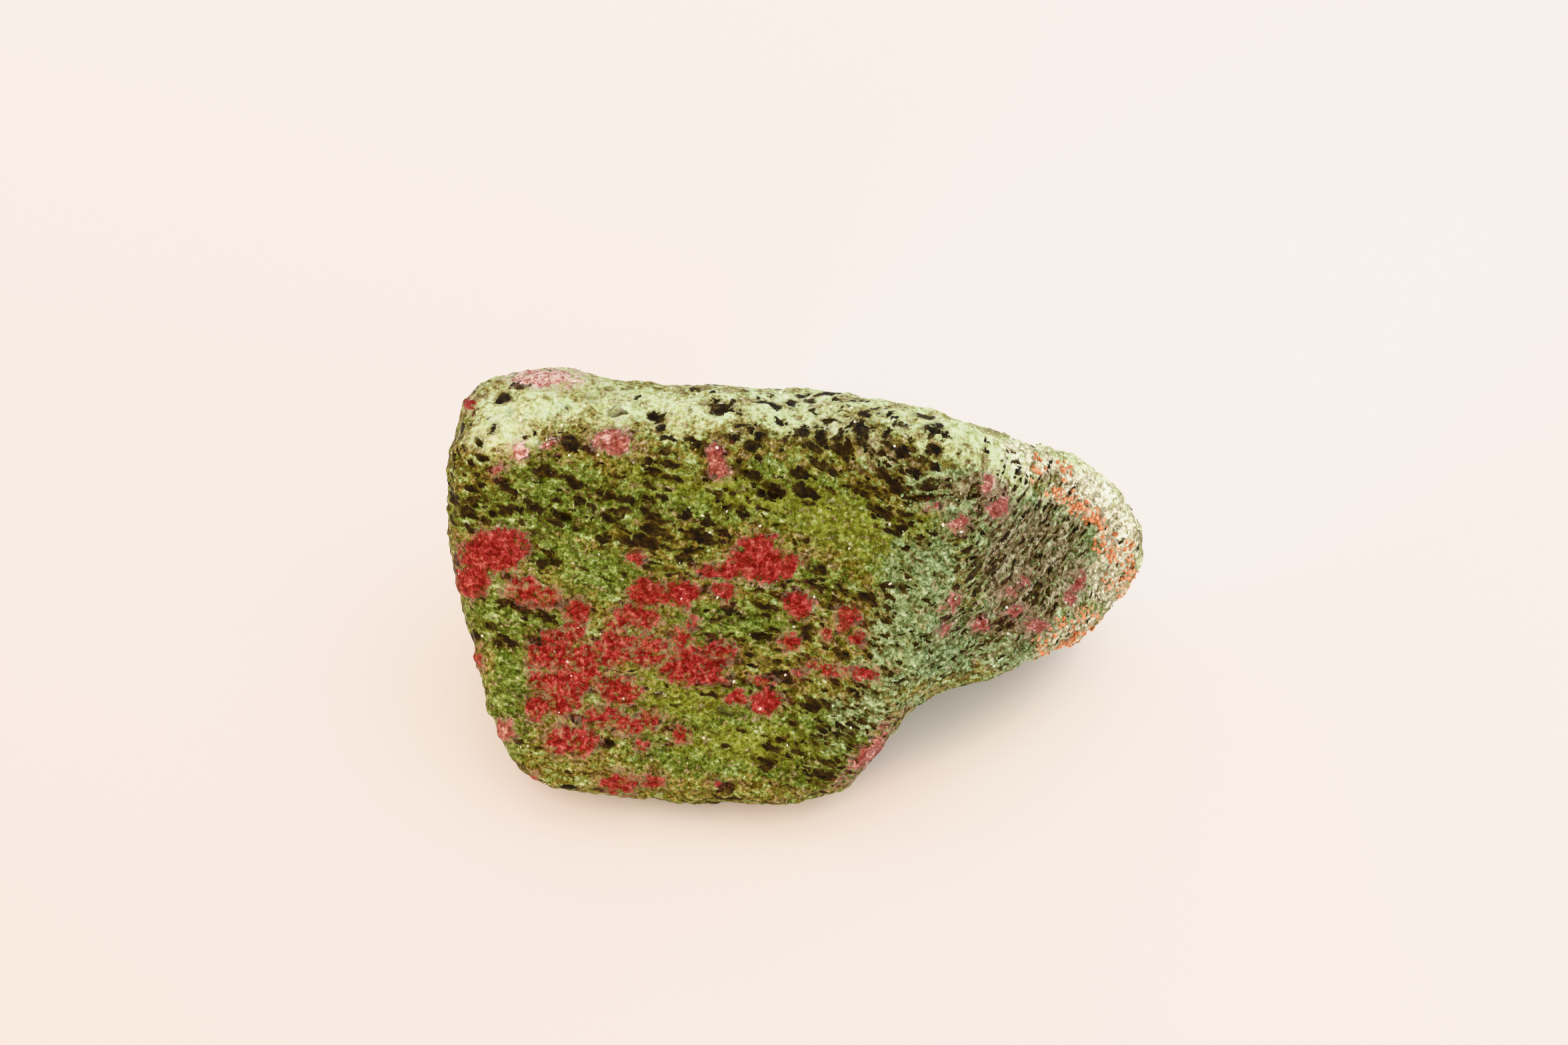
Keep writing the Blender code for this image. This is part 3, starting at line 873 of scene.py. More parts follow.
@dataclass(frozen=True)
class Zoisite:
    """The fuzzy ground: one tone for how light each grain is, read in the tints that mix there.

    Attributes:
        khaki: most of the zoisite.
        tints: its other colours, in the order in which they cover each other.
        brown_haze: the brown zoisite in the shade of dark grains.
        haze_share: how much of that haze shows.
        haze_tones: the tones where the haze is brown, and where it is khaki.
        blotches: the noise of lighter and darker blotches along the layers.
        frays: the finer noise at the edges of tints.
        tone: the usual tone.
        tone_of_fuzz: how far the fuzz changes the tone.
        tone_of_blotches: how far the blotches do.
        tone_of_grains: how far single grains do.
        tone_of_haze: how much darker the haze is.
        tone_of_pale_and_sheen: how much lighter the pale zoisite is, with its painted sheen on the top
            band.
        tone_of_lime: how much darker the lime zoisite is.
        blotchy: how far the blotches move the edges of tints.
        frayed: how far the frays move them.
        tint_edge: the share where a tint starts to cover and where it covers.
    """

    khaki: Tones = Tones((
        (0.031, 0.016, 0.002), (0.099, 0.064, 0.009), (0.198, 0.144, 0.032), (0.321, 0.257, 0.073),
        (0.434, 0.404, 0.186),
    ))
    tints: dict[Zone, Tones] = field(default_factory=lambda: {
        Zone.GREEN: Tones((
            (0.013, 0.019, 0.002), (0.050, 0.076, 0.009), (0.100, 0.147, 0.025), (0.172, 0.238, 0.050),
            (0.306, 0.387, 0.137),
        ), strays=0.38, pull=0.45),
        Zone.LIME: Tones((
            (0.055, 0.061, 0.004), (0.110, 0.137, 0.015), (0.185, 0.222, 0.034), (0.262, 0.300, 0.065),
            (0.391, 0.427, 0.155),
        )),
        Zone.COOL: COOL,
        Zone.BROWN: Tones((
            (0.037, 0.023, 0.010), (0.103, 0.075, 0.036), (0.172, 0.135, 0.070), (0.259, 0.207, 0.124),
            (0.391, 0.338, 0.233),
        ), strays=0.06, pull=0.58),
        # pale zoisite, partly painted sheen along the top band and the nose rim
        Zone.PALE: Tones((
            (0.153, 0.130, 0.041), (0.265, 0.264, 0.089), (0.359, 0.404, 0.170), (0.434, 0.508, 0.286),
            (0.516, 0.568, 0.420),
        )),
        Zone.CHALK: CHALKY,
    })
    brown_haze: Colour = (0.067, 0.043, 0.005)
    haze_share: float = 0.40
    haze_tones: Span = (0.3, 0.8)
    blotches: Cloud = Cloud((2.0, 2.0, 0.8), 5.0, 0.70)
    frays: Cloud = Cloud(0.55, 3.0, 0.7)
    tone: float = 0.48
    tone_of_fuzz: float = 2.3
    tone_of_blotches: float = 1.1
    tone_of_grains: float = 0.42
    tone_of_haze: float = 0.10
    tone_of_pale_and_sheen: float = 0.30
    tone_of_lime: float = 0.08
    blotchy: float = 2.2
    frayed: float = 1.8
    tint_edge: Span = (0.15, 0.65)

    def colour(self, bench: SkinBench, haze: Signal) -> Signal:
        """The ground's colour, from how much haze of dark grains each place is in."""
        blotches = bench.cloud(bench.layered, self.blotches)
        grain = bench.channel(bench.grains, "Red")
        tone = self.tone + bench.fuzz.swing(self.tone_of_fuzz) + blotches.swing(self.tone_of_blotches)
        tone = tone + grain.swing(self.tone_of_grains) - haze * self.tone_of_haze
        # painted sheen: the tone is made lighter in the pale zone, partly the top band and nose rim where
        # they face the light
        tone = tone + bench.zone(Zone.PALE) * self.tone_of_pale_and_sheen - bench.zone(Zone.LIME) * self.tone_of_lime
        ragged = blotches.swing(self.blotchy) + bench.cloud(bench.place, self.frays).swing(self.frayed)
        colour = self.khaki.over(bench, tone)
        for zone, tones in self.tints.items():
            share = bench.zone(zone) * tones.pull + tones.strays + ragged
            ragged = ragged * -1.0
            colour = bench.blend(share.rise(*self.tint_edge), colour, tones.over(bench, tone))
        khaki_haze = self.khaki.colours[len(self.khaki.colours) // 2]
        hazy = bench.blend(tone.rise(*self.haze_tones), self.brown_haze, khaki_haze)
        return bench.blend(haze * self.haze_share, colour, hazy)


@dataclass(frozen=True)
class Lenses:
    """One kind of lens-shaped dark grain.

    Attributes:
        size: their size along the layers, in two directions, and across them, in mm.
        share: how much of the hornblende's density they take.
        in_crumbs: how much more of them there are in the cool, crumbly zoisite.
    """

    size: tuple[float, float, float]
    share: float
    in_crumbs: float


@dataclass(frozen=True)
class Hornblende:
    """Lens-shaped dark grains that lie along the layers, with a haze around them.

    Attributes:
        tones: the dark grains.
        kinds: the kinds of lenses.
        less_in_chalk: how much less dense they are in the chalky rim.
        wander: the noise that bends them.
        bend: how far it bends them along each axis, in mm.
        choice: how sharply a lens is there or not.
        radius: the least radius of a lens, for its size.
        spread: how much greater the greatest is.
        frayed: how far the fuzz moves its outline.
        edge: how deep inside the outline the grain starts and is full.
        haze_edge: where its haze starts and is full.
        mottle: the noise of its tone.
        tone: its usual tone.
        tone_of_mottle: how far the noise changes the tone.
        tone_of_fuzz: how far the fuzz does.
    """

    tones: Tones = Tones(
        ((0.002, 0.002, 0.002), (0.012, 0.007, 0.002), (0.033, 0.021, 0.005), (0.089, 0.062, 0.017)),
        (0.25, 0.50, 0.70, 0.90),
    )
    kinds: tuple[Lenses, ...] = (
        Lenses((3.0, 2.4, 1.05), 1.0, -0.35),
        Lenses((2.0, 1.7, 0.75), 0.9, -0.05),
        Lenses((1.1, 1.0, 0.50), 0.7, 0.25),
    )
    less_in_chalk: float = 0.12
    wander: Cloud = Cloud(1.3, 3.0, 0.6)
    bend: tuple[float, float, float] = (2.2, 2.2, 1.3)
    choice: Span = (-0.02, 0.02)
    radius: float = 0.36
    spread: float = 0.24
    frayed: float = 0.70
    edge: Span = (0.0, 0.10)
    haze_edge: Span = (-0.28, 0.05)
    mottle: Cloud = Cloud((1.2, 1.2, 0.5), 4.0, 0.7)
    tone: float = 0.5
    tone_of_mottle: float = 2.0
    tone_of_fuzz: float = 0.8

    def shares(self, bench: SkinBench) -> tuple[Signal, Signal]:
        """How much of each place is a dark grain, and how much haze there is."""
        density = bench.zone(Zone.HORNBLENDE) - bench.zone(Zone.CHALK) * self.less_in_chalk
        crumbly = bench.zone(Zone.COOL)
        push = bench.sway(bench.cloud(bench.place, self.wander, "Color"), self.bend)
        bent = bench.vector("ADD", bench.layered, push)
        dark: Signal | float = 0.0
        haze: Signal | float = 0.0
        for kind in self.kinds:
            random = bench.cells(bent, kind.size)
            wanted = density * kind.share + crumbly * kind.in_crumbs
            chosen = (wanted - bench.channel(random, "Green")).rise(*self.choice)
            radius = bench.channel(random, "Blue") * self.spread + self.radius
            inside = radius - bench.cells(bent, kind.size, "Distance") + bench.fuzz.swing(self.frayed)
            dark = bench.math("MAXIMUM", dark, chosen * inside.rise(*self.edge))
            haze = bench.math("MAXIMUM", haze, chosen * inside.rise(*self.haze_edge))
        return dark, haze

    def colour(self, bench: SkinBench) -> Signal:
        """The dark grains' colour."""
        mottle = bench.cloud(bench.layered, self.mottle).swing(self.tone_of_mottle)
        return self.tones.over(bench, self.tone + mottle + bench.fuzz.swing(self.tone_of_fuzz))


@dataclass(frozen=True)
class Ruby:
    """Rough ruby, red, or rosy and dull in places.

    Attributes:
        red: most of the rubies.
        rosy: the pale and dull ones.
        rosy_edge: how rosy a place is where a ruby starts to turn rosy and has turned.
        rosy_share: how far it turns.
        lobed: how far the lobes move its outline, in mm.
        fuzzy: how far the fuzz does, in mm.
        edge: how deep inside the outline it starts and is full, in mm.
        gaps: the noise of the gaps between its grains, where zoisite shows.
        closing: how fast the gaps close with the depth.
        gap_edge: the noise's value where a gap starts and is open.
        openness: how open the gaps of every ruby are.
        dusty_open: how much more open those of the dusty rubies are.
        bending: the noise that bends its coarse grains.
        knot: the size of those grains, in mm.
        seam: how far from their edge their light seams reach, for that size.
        knot_edge: how far from it they rise.
        clouds: the noise of its tone.
        tone: its usual tone.
        tone_of_clouds: how far the noise changes the tone.
        tone_of_fuzz: how far the fuzz does.
        tone_of_seams: how much lighter the seams are.
        tone_of_pale_and_sheen: how much lighter a rosy ruby is in the pale zoisite and its painted sheen.
    """

    red: Tones = Tones((
        (0.098, 0.002, 0.002), (0.188, 0.014, 0.014), (0.265, 0.033, 0.032), (0.359, 0.072, 0.065),
        (0.452, 0.174, 0.141),
    ))
    rosy: Tones = Tones((
        (0.167, 0.038, 0.031), (0.265, 0.075, 0.060), (0.336, 0.122, 0.100), (0.417, 0.201, 0.165),
        (0.649, 0.533, 0.490),
    ))
    rosy_edge: Span = (0.1, 0.8)
    rosy_share: float = 0.92
    lobed: float = 2.2
    fuzzy: float = 2.4
    edge: Span = (-0.02, 0.20)
    gaps: Cloud = Cloud(0.8, 4.0, 0.7)
    closing: float = 0.06
    gap_edge: Span = (0.44, 0.56)
    openness: float = 0.12
    dusty_open: float = 0.62
    bending: Cloud = Cloud(0.8, 3.0, 0.5)
    knot: float = 0.85
    seam: Span = (0.02, 0.2)
    knot_edge: Span = (0.0, 0.35)
    clouds: Cloud = Cloud(1.0, 5.0, 0.7)
    tone: float = 0.33
    tone_of_clouds: float = 2.0
    tone_of_fuzz: float = 1.5
    tone_of_seams: float = 0.12
    tone_of_pale_and_sheen: float = 0.45

    def depth(self, bench: SkinBench) -> Signal:
        """How deep inside a ruby each place is, in mm."""
        return bench.outline(Zone.RUBY, self.lobed, self.fuzzy)

    def share(self, bench: SkinBench, depth: Signal) -> Signal:
        """How much of each place is ruby, from its depth inside one."""
        gaps = (bench.cloud(bench.place, self.gaps) - depth * self.closing).rise(*self.gap_edge)
        opened = bench.zone(Zone.DUSTY) * self.dusty_open + self.openness
        return depth.rise(*self.edge) * (1.0 - gaps * opened)

    def knots(self, bench: SkinBench) -> Signal:
        """How far each place is from the edge of its coarse grain, for the grain's size."""
        bent = bench.vector("ADD", bench.place, bench.cloud(bench.place, self.bending, "Color"))
        return bench.cells(bent, self.knot, "Distance", "DISTANCE_TO_EDGE")

    def colour(self, bench: SkinBench, knots: Signal) -> Signal:
        """The ruby's colour, from its coarse grains."""
        clouds = bench.cloud(bench.place, self.clouds).swing(self.tone_of_clouds)
        seams = (1.0 - knots.rise(*self.seam)) * self.tone_of_seams
        tone = self.tone + clouds + bench.fuzz.swing(self.tone_of_fuzz) + seams
        # painted sheen: rosy rubies are lighter in the pale zone, partly the top band where it faces the
        # light
        rosy_tone = tone + bench.zone(Zone.PALE) * self.tone_of_pale_and_sheen
        share = bench.zone(Zone.ROSY).rise(*self.rosy_edge) * self.rosy_share
        return bench.blend(share, self.red.over(bench, tone), self.rosy.over(bench, rosy_tone))


@dataclass(frozen=True)
class ThinCover:
    """A mineral that lies thinly on the others: the crust, or the veins.

    Attributes:
        zone: where it lies.
        tones: its colours.
        lobed: how far the lobes move its outline, in mm.
        fuzzy: how far the fuzz does, in mm.
        edge: how deep inside the outline it starts and is full, in mm.
        tone: its usual tone.
        tone_of_fuzz: how far the fuzz changes the tone.
        cover: how much of what is under it it hides.
        breaks: the noise that breaks it up, if it is broken.
        break_edge: the noise's value where it starts and is whole.
    """

    zone: Zone
    tones: Tones
    lobed: float
    fuzzy: float
    edge: Span
    tone: float
    tone_of_fuzz: float
    cover: float = 0.85
    breaks: Cloud | None = None
    break_edge: Span = (0.40, 0.50)

    def laid(self, bench: SkinBench, colour: Signal) -> Signal:
        """The colour with this mineral laid over it."""
        share = bench.outline(self.zone, self.lobed, self.fuzzy).rise(*self.edge)
        if self.breaks:
            share = share * bench.cloud(bench.place, self.breaks).rise(*self.break_edge)
        tone = self.tone + bench.fuzz.swing(self.tone_of_fuzz)
        return bench.blend(share * self.cover, colour, self.tones.over(bench, tone))


@dataclass(frozen=True)
class StoneFinish:
    """The finish of the skin: sugary zoisite, dark hornblende, rough ruby and an orange crust.

    Attributes:
        zoisite: the ground.
        hornblende: the dark grains.
        ruby: the rubies.
        veins: the thin chalky veins.
        crust: the broken crust.
        grain: the size of the zoisite's grains, in mm.
        fuzz: the fine noise of sugary grains.
        lobes: the noise that makes outlines ragged.
        blush_edge: how deep inside a ruby's outline the zoisite starts to blush and blushes, in mm.
        blush_fuzz: the fuzz's value where it does.
        blush_share: how much it blushes.
        rim_edge: how deep inside the outline a light rim starts and is full, in mm.
        rim_lobes: the lobes' value where it does.
        rim_share: how light the rim is.
        sparkle: the size of the tiny mirrors, in mm.
        sparkle_edge: how rare they are: a cell's random value where one starts and is full.
        painted_sparkle_colour: the near white painted into their colour as sparkle highlights.
        painted_sparkle_share: how much of the colour under them that painted sparkle hides.
        rough: the usual roughness.
        rough_fuzz: how far the fuzz changes it.
        smooth_dark: how much smoother the dark grains are.
        smooth_glint: how much smoother the few grains are that glint.
        smooth_sparkle: how much smoother the tiny mirrors are.
        glint_edge: how rare the glinting grains are.
        relief: the height of the finest relief, in mm.
        grain_height: how high the zoisite's grains stand, for that relief.
        fuzz_height: how high the fuzz does.
        knot_height: how high the rubies' coarse grains do.
        dark_depth: how deep the dark grains lie.
        facet_tilt: how far each grain is tilted to its own side.
    """

    zoisite: Zoisite = Zoisite()
    hornblende: Hornblende = Hornblende()
    ruby: Ruby = Ruby()
    veins: ThinCover = ThinCover(
        Zone.VEIN, CHALKY, lobed=0.0, fuzzy=1.2, edge=(0.0, 0.12), tone=0.45, tone_of_fuzz=1.8
    )
    crust: ThinCover = ThinCover(
        Zone.CRUST, ORANGE, lobed=2.4, fuzzy=3.0, edge=(0.2, 0.40), tone=0.5, tone_of_fuzz=2.4,
        breaks=Cloud(0.55, 3.0, 0.7),
    )
    grain: float = 0.40
    fuzz: Cloud = Cloud(0.50, 4.0, 0.80)
    lobes: Cloud = Cloud(1.3, 4.0, 0.6)
    blush_edge: Span = (-0.9, 0.1)
    blush_fuzz: Span = (0.44, 0.60)
    blush_share: float = 0.45
    rim_edge: Span = (-0.35, -0.05)
    rim_lobes: Span = (0.40, 0.55)
    rim_share: float = 0.35
    sparkle: float = 0.24
    sparkle_edge: Span = (0.9985, 0.9990)
    painted_sparkle_colour: Colour = (0.95, 0.95, 0.92)
    painted_sparkle_share: float = 0.8
    rough: float = 0.72
    rough_fuzz: float = 0.3
    smooth_dark: float = 0.08
    smooth_glint: float = 0.4
    smooth_sparkle: float = 0.3
    glint_edge: Span = (0.965, 0.98)
    relief: float = 0.20
    grain_height: float = 0.4
    fuzz_height: float = 1.1
    knot_height: float = 0.5
    dark_depth: float = 0.3
    facet_tilt: float = 0.4

    def material(self) -> bpy.types.Material:
        """Builds the material."""
        bench = SkinBench("ruby_in_zoisite", self.grain, self.fuzz, self.lobes)
        dark_share, haze = self.hornblende.shares(bench)
        ruby_depth = self.ruby.depth(bench)
        ruby_share = self.ruby.share(bench, ruby_depth)
        knots = self.ruby.knots(bench)
        colour = bench.blend(dark_share, self.zoisite.colour(bench, haze), self.hornblende.colour(bench))
        colour = self.veins.laid(bench, colour)
        colour = self._ringed(bench, colour, ruby_depth)
        colour = bench.blend(ruby_share, colour, self.ruby.colour(bench, knots))
        colour = self.crust.laid(bench, colour)
        # painted sparkle highlights: a rare few tiny grains turned nearly white in the colour, and also
        # made smoother
        sparkle = bench.channel(bench.cells(bench.place, self.sparkle), "Blue").rise(*self.sparkle_edge)
        colour = bench.blend(sparkle * self.painted_sparkle_share, colour, self.painted_sparkle_colour)
        bare_dark = dark_share * (1.0 - ruby_share)
        raised_knots = knots.rise(*self.ruby.knot_edge) * ruby_share
        return bench.dressed({
            "Base Color": colour,
            "Roughness": self._roughness(bench, bare_dark, sparkle),
            "Normal": self._normal(bench, bare_dark, raised_knots),
            "Specular IOR Level": MIRRORING,
        })

    def _ringed(self, bench: SkinBench, colour: Signal, ruby_depth: Signal) -> Signal:
        """The ground's colour with the rosy blush and the light rim that ring a ruby."""
        blush = ruby_depth.rise(*self.blush_edge) * bench.fuzz.rise(*self.blush_fuzz)
        rim = ruby_depth.rise(*self.rim_edge) * bench.lobes.rise(*self.rim_lobes)
        dim_rose = self.ruby.rosy.colours[1]
        light_brown = self.zoisite.tints[Zone.BROWN].colours[-1]
        colour = bench.blend(blush * self.blush_share, colour, dim_rose)
        return bench.blend(rim * self.rim_share, colour, light_brown)

    def _roughness(self, bench: SkinBench, bare_dark: Signal, sparkle: Signal) -> Signal:
        """How rough the skin is, from the dark grains and the tiny mirrors that show."""
        glint = bench.channel(bench.grains, "Blue").rise(*self.glint_edge)
        rough = self.rough - bare_dark * self.smooth_dark + bench.fuzz.swing(self.rough_fuzz)
        return rough - glint * self.smooth_glint - sparkle * self.smooth_sparkle

    def _normal(self, bench: SkinBench, bare_dark: Signal, knots: Signal) -> Signal:
        """Which way the skin faces: the finest relief, and the tilt of each grain."""
        grain_top = 1.0 - bench.cells(bench.place, self.grain, "Distance")
        height = grain_top * self.grain_height + bench.fuzz * self.fuzz_height
        height = height + knots * self.knot_height - bare_dark * self.dark_depth
        bump = {"Strength": 1.0, "Distance": self.relief * MM, "Height": height}
        tilt = bench.sway(bench.grains, (self.facet_tilt,) * 3)
        tilted = bench.vector("ADD", bench.node("ShaderNodeBump", {}, bump), tilt)
        return bench.node("ShaderNodeVectorMath", {"operation": "NORMALIZE"}, {0: tilted})


@dataclass(frozen=True)
class Relief:
    """The skin's low relief.

    Attributes:
        lumps: worn lumps all over.
        ledges: thin ledges along the layers.
        sugar: the zoisite's grains.
        coarse: the rubies' grains.
        crumbs: the lumps of the crumbly zoisite and of the chalky rim.
        hollows: the pattern that has a pit wherever it is high.
        pit_edge: its value where a pit starts and is deepest.
        pit_depth: how deep a pit is, in mm.
        ruby_edge: how deep inside a ruby it starts to stand out and stands out, in mm.
        ruby_height: how far it stands out, in mm.
        crust_edge: how deep inside the crust it starts to stand out and stands out, in mm.
        crust_height: how far it stands out, in mm.
        foot_fade: the height above the ground over which the relief grows, in mm.
    """

    lumps: Waves = Waves(2.6, 3, 1.1, 0.28)
    ledges: Waves = Waves((5.0, 5.0, 1.1), 2, 8.3, 0.22)
    sugar: Grains = Grains(1.05, 4.2, 0.16)
    coarse: Grains = Grains(1.5, 7.7, 0.20)
    crumbs: Waves = Waves((1.7, 1.7, 1.0), 2, 12.6, 0.30)
    hollows: Waves = Waves((3.4, 3.4, 1.5), 3, 14.9)
    pit_edge: Span = (0.36, 0.75)
    pit_depth: float = 0.55
    ruby_edge: Span = (-0.2, 0.5)
    ruby_height: float = 0.16
    crust_edge: Span = (-0.3, 0.4)
    crust_height: float = 0.2
    foot_fade: Span = (0.0, 1.5)

    def height(self, points: np.ndarray, chart: dict[str, np.ndarray]) -> np.ndarray:
        """How far out each point of the skin moves, in mm, from the chart of its markings."""
        layered = chart["layered"]
        in_ruby = smooth_step(chart[Zone.RUBY.value], *self.ruby_edge)
        in_crust = smooth_step(chart[Zone.CRUST.value], *self.crust_edge)
        crumbly = np.maximum(chart[Zone.COOL.value], chart[Zone.CHALK.value])
        pits = self.pit_depth * smooth_step(self.hollows.at(layered), *self.pit_edge) * (1.0 - in_ruby)
        height = self.lumps.at(points) + self.ledges.at(layered) + self.sugar.at(points)
        height += in_ruby * self.coarse.at(points) + crumbly * self.crumbs.at(layered)
        height += self.ruby_height * in_ruby + self.crust_height * in_crust - pits
        return height * smooth_step(points[:, 2], *self.foot_fade)


def rows(items: Any, key: str) -> np.ndarray:
    """One vector of each of a mesh's items, in rows."""
    values = np.empty(len(items) * 3)
    items.foreach_get(key, values)
    return values.reshape(-1, 3)


@dataclass
class Stone:
    """The stone's skin.

    Attributes:
        markings: where its minerals are.
        finish: what it is dressed in.
        relief: its low relief.
        square: the side of the even squares it is first made of, in mm.
        fineness: how many times those squares are halved.
        weld: how close the solid's points are merged, in mm.
    """

    markings: Markings
    finish: StoneFinish = field(default_factory=StoneFinish)
    relief: Relief = field(default_factory=Relief)
    square: float = 1.52
    fineness: int = 2
    weld: float = 0.01

    def build(self, solid: bpy.types.Object) -> bpy.types.Object:
        """Makes the skin from the stone's solid and dresses it.

        Args:
            solid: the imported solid, which the skin replaces.

        Returns:
            The finished skin.
        """
        mesh = self._fine_mesh(solid)
        points = rows(mesh.vertices, "co")
        normals = rows(mesh.vertex_normals, "vector")
        chart = self.markings.chart(points, normals)
        points += normals * self.relief.height(points, chart)[:, None]
        points = self._fitted(points, solid)
        mesh.vertices.foreach_set("co", (points * MM).ravel())
        mesh.update()
        for name, values in chart.items():
            self._keep(mesh, name, values)
        mesh.shade_smooth()
        mesh.materials.clear()
        mesh.materials.append(self.finish.material())
        skin = bpy.data.objects.new("stone_skin", mesh)
        bpy.context.scene.collection.objects.link(skin)
        return skin

    def _fine_mesh(self, solid: bpy.types.Object) -> bpy.types.Mesh:
        """The solid's surface, in mm, made again of fine even squares and smoothed."""
        form = bmesh.new()
        form.from_mesh(solid.data)
        bmesh.ops.remove_doubles(form, verts=form.verts, dist=self.weld * MM)
        bmesh.ops.scale(form, verts=form.verts, vec=(1 / MM,) * 3)
        rough = bpy.data.meshes.new("stone_rough")
        form.to_mesh(rough)
        form.free()
        holder = bpy.data.objects.new("stone_rough", rough)
        bpy.context.scene.collection.objects.link(holder)
        remesh = holder.modifiers.new("even_squares", "REMESH")
        remesh.mode = "VOXEL"
        remesh.voxel_size = self.square
        finer = holder.modifiers.new("finer", "SUBSURF")
        finer.levels = finer.render_levels = self.fineness
        seen = holder.evaluated_get(bpy.context.evaluated_depsgraph_get())
        mesh = bpy.data.meshes.new_from_object(seen)
        mesh.name = "stone_skin"
        bpy.data.objects.remove(holder)
        return mesh

    @staticmethod
    def _fitted(points: np.ndarray, solid: bpy.types.Object) -> np.ndarray:
        """The points moved the little that it takes to fill the solid's own box, in mm."""
        low, high = (np.array(corner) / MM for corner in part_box(solid.name))
        here_low, here_high = points.min(axis=0), points.max(axis=0)
        return low + (points - here_low) * (high - low) / (here_high - here_low)

    @staticmethod
    def _keep(mesh: bpy.types.Mesh, name: str, values: np.ndarray) -> None:
        """Keeps numbers or vectors on the mesh's points."""
        kind, key = ("FLOAT_VECTOR", "vector") if values.ndim > 1 else ("FLOAT", "value")
        attribute = mesh.attributes.new(name, kind, "POINT")
        attribute.data.foreach_set(key, values.astype(np.float32).ravel())


@dataclass(frozen=True)
class GranuleFinish:
    """The finish of loose granules: one mineral's tones, mixed at random.

    Attributes:
        name: the material's name.
        tones: the mineral's colours.
        mixing: the noise that mixes them.
        tone: the usual tone.
        tone_of_mixing: how far the noise changes it.
        dust: the noise of the roughness.
        rough: the usual roughness.
        rough_dust: how far the noise changes it.
    """

    name: str
    tones: Tones
    mixing: Cloud = Cloud(0.7, 4.0, 0.7)
    tone: float = 0.5
    tone_of_mixing: float = 2.6
    dust: Cloud = Cloud(0.2)
    rough: float = 0.6
    rough_dust: float = 0.4

    def material(self) -> bpy.types.Material:
        """Builds the material."""
        bench = NodeBench(self.name)
        place = bench.place_in_mm()
        tone = self.tone + bench.cloud(place, self.mixing).swing(self.tone_of_mixing)
        return bench.dressed({
            "Base Color": self.tones.over(bench, tone),
            "Roughness": self.rough + bench.cloud(place, self.dust).swing(self.rough_dust),
            "Specular IOR Level": MIRRORING,
        })


@dataclass(frozen=True)
class Granules:
    """Loose granules of one mineral, bedded in the skin where that mineral lies.

    Attributes:
        name: the piece's name.
        zone: where they lie.
        least: the zone's least value there.
        count: how many there are.
        radius: the smallest and the largest radius, in mm.
        finish: what they are dressed in.
        seed: of their places.
        clearance: how high above the ground they lie at least, for the largest radius.
        drift: how far a granule is from its point of the skin, for the largest radius.
        narrowness: how wide a granule is for its length, at least and at most.
        flatness: how thick a granule is for its length.
        bedding: how deep a granule's middle lies, for its radius.
    """

    name: str
    zone: Zone
    least: float
    count: int
    radius: Span
    finish: GranuleFinish
    seed: int = 5
    clearance: float = 3.0
    drift: float = 0.5
    narrowness: Span = (0.6, 1.0)
    flatness: float = 0.7
    bedding: float = 0.25

    def build(self, skin: bpy.types.Object) -> bpy.types.Object:
        """Makes the granules.

        Args:
            skin: the stone's finished skin.

        Returns:
            One piece with all of them.
        """
        draw = np.random.default_rng(self.seed)
        form = bmesh.new()
        for number in self._beds(skin.data, draw):
            matrix = self._placed(skin.data.vertices[number], draw)
            bmesh.ops.create_icosphere(form, subdivisions=1, radius=1.0, matrix=matrix)
        mesh = bpy.data.meshes.new(self.name)
        form.to_mesh(mesh)
        form.free()
        mesh.materials.append(self.finish.material())
        piece = bpy.data.objects.new(self.name, mesh)
        bpy.context.scene.collection.objects.link(piece)
        return piece

    def _beds(self, skin: bpy.types.Mesh, draw: np.random.Generator) -> list[int]:
        """The numbers of the skin's points that carry a granule: in the zone and off the ground."""
        there = np.empty(len(skin.vertices))
        skin.attributes[self.zone.value].data.foreach_get("value", there)
        off_ground = rows(skin.vertices, "co")[:, 2] > self.clearance * self.radius[1] * MM
        in_zone = np.flatnonzero((there > self.least) & off_ground)
        return draw.choice(in_zone, self.count, replace=False).tolist()

    def _placed(self, bed: bpy.types.MeshVertex, draw: np.random.Generator) -> Matrix:
        """The place, turn and size of the granule on one point of the skin."""
        radius = draw.uniform(*self.radius)
        away = Vector(draw.uniform(-self.drift, self.drift, 3)) * self.radius[1]
        away -= bed.normal * radius * self.bedding
        turn = Euler(draw.uniform(0.0, math.tau, 3)).to_quaternion()
        size = Vector((1.0, draw.uniform(*self.narrowness), self.flatness)) * radius * MM
        return Matrix.LocRotScale(bed.co + away * MM, turn, size)


@dataclass(frozen=True)
class Lamp:
    """A soft square lamp that looks at the stone.

    Attributes:
        name: the lamp's name.
        place: where it is, in metres.
        size: its side in metres.
        power: in watts.
        colour: of its light.
    """

    name: str
    place: tuple[float, float, float]
    size: float
    power: float
    colour: Colour

    def light(self, target: Vector) -> None:
        """Puts the lamp in the scene, turned to a target in metres."""
        lamp = bpy.data.lights.new(self.name, "AREA")
        lamp.size = self.size
        lamp.energy = self.power
        lamp.color = self.colour
        holder = bpy.data.objects.new(self.name, lamp)
        bpy.context.scene.collection.objects.link(holder)
        holder.location = self.place
        holder.rotation_euler = (target - Vector(self.place)).to_track_quat("-Z", "Y").to_euler()


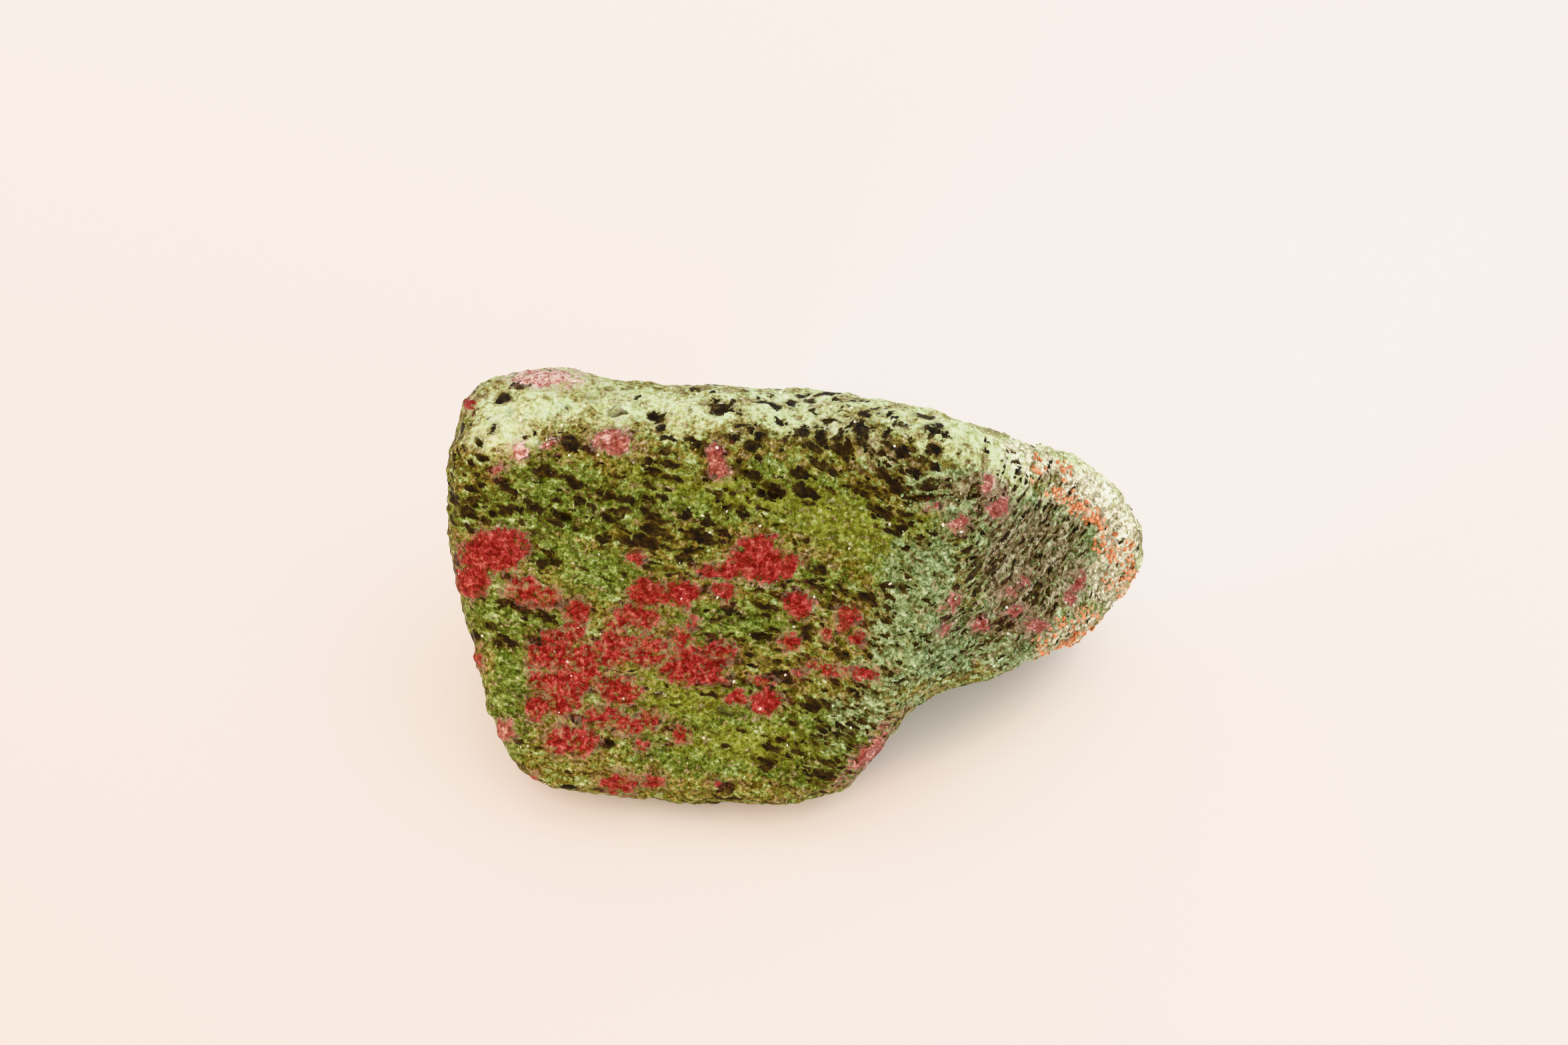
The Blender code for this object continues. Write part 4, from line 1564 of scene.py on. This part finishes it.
@dataclass
class Studio:
    """The plain pale floor, the soft light and the air around the stone.

    Attributes:
        floor_side: the floor's side in metres.
        floor_colour: its colour.
        floor_roughness: its roughness.
        air_colour: the colour of the light from all around.
        air_strength: its strength.
        lamps: the lamps.
    """

    floor_side: float = 6.0
    floor_colour: Colour = (0.90, 0.86, 0.84)
    floor_roughness: float = 0.7
    air_colour: Colour = (1.0, 0.955, 0.93)
    air_strength: float = 1.20
    lamps: tuple[Lamp, ...] = (
        Lamp("window", (0.30, 0.52, 0.85), 1.5, 7.5, (0.98, 0.99, 1.0)),
        Lamp("side", (0.75, -0.50, 0.30), 0.7, 3.2, (1.0, 0.96, 0.94)),
        Lamp("warm_side", (-0.70, -0.30, 0.40), 0.4, 1.2, (1.0, 0.78, 0.55)),
        Lamp("glow", (-0.22, -0.20, 0.10), 0.10, 0.40, (1.0, 0.50, 0.22)),
    )

    def build(self, target: Vector) -> None:
        """Makes the floor, the air and the lamps, which look at a target in metres."""
        form = bmesh.new()
        bmesh.ops.create_grid(form, x_segments=1, y_segments=1, size=self.floor_side / 2)
        mesh = bpy.data.meshes.new("floor")
        form.to_mesh(mesh)
        form.free()
        plaster = {"Base Color": self.floor_colour, "Roughness": self.floor_roughness}
        mesh.materials.append(NodeBench("pale_floor").dressed(plaster))
        floor = bpy.data.objects.new("floor", mesh)
        bpy.context.scene.collection.objects.link(floor)
        world = bpy.data.worlds.new("air")
        world.use_nodes = True
        air = world.node_tree.nodes["Background"]
        air.inputs["Color"].default_value = (*self.air_colour, 1.0)
        air.inputs["Strength"].default_value = self.air_strength
        bpy.context.scene.world = world
        for lamp in self.lamps:
            lamp.light(target)


LOOSE_GRANULES = (
    Granules("crust_granules", Zone.CRUST, -0.45, 400, (0.18, 0.42), GranuleFinish("orange_crust", ORANGE)),
    Granules("chalk_granules", Zone.CHALK, 0.5, 420, (0.12, 0.30), GranuleFinish("chalky_crust", CHALKY)),
    Granules("crumbs", Zone.COOL, 0.5, 900, (0.12, 0.30), GranuleFinish("cool_zoisite", COOL)),
)


def main() -> None:
    """Builds the stone and its studio in order, and notes its size."""
    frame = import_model()
    bpy.context.scene.view_settings.view_transform = "Khronos PBR Neutral"
    view = FrontView()
    view.make_camera()
    skin = Stone(Markings(view)).build(frame["nodes"]["stone"])
    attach(skin, "root")
    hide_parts("stone")
    log.info("%s: %d squares", skin.name, len(skin.data.polygons))
    for granules in LOOSE_GRANULES:
        piece = granules.build(skin)
        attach(piece, "root")
        log.info("%s: %d granules", piece.name, granules.count)
    Studio().build(view.aim * MM)


if __name__ == "__main__":
    logging.basicConfig(level=logging.INFO, format="%(name)s: %(message)s")
    main()
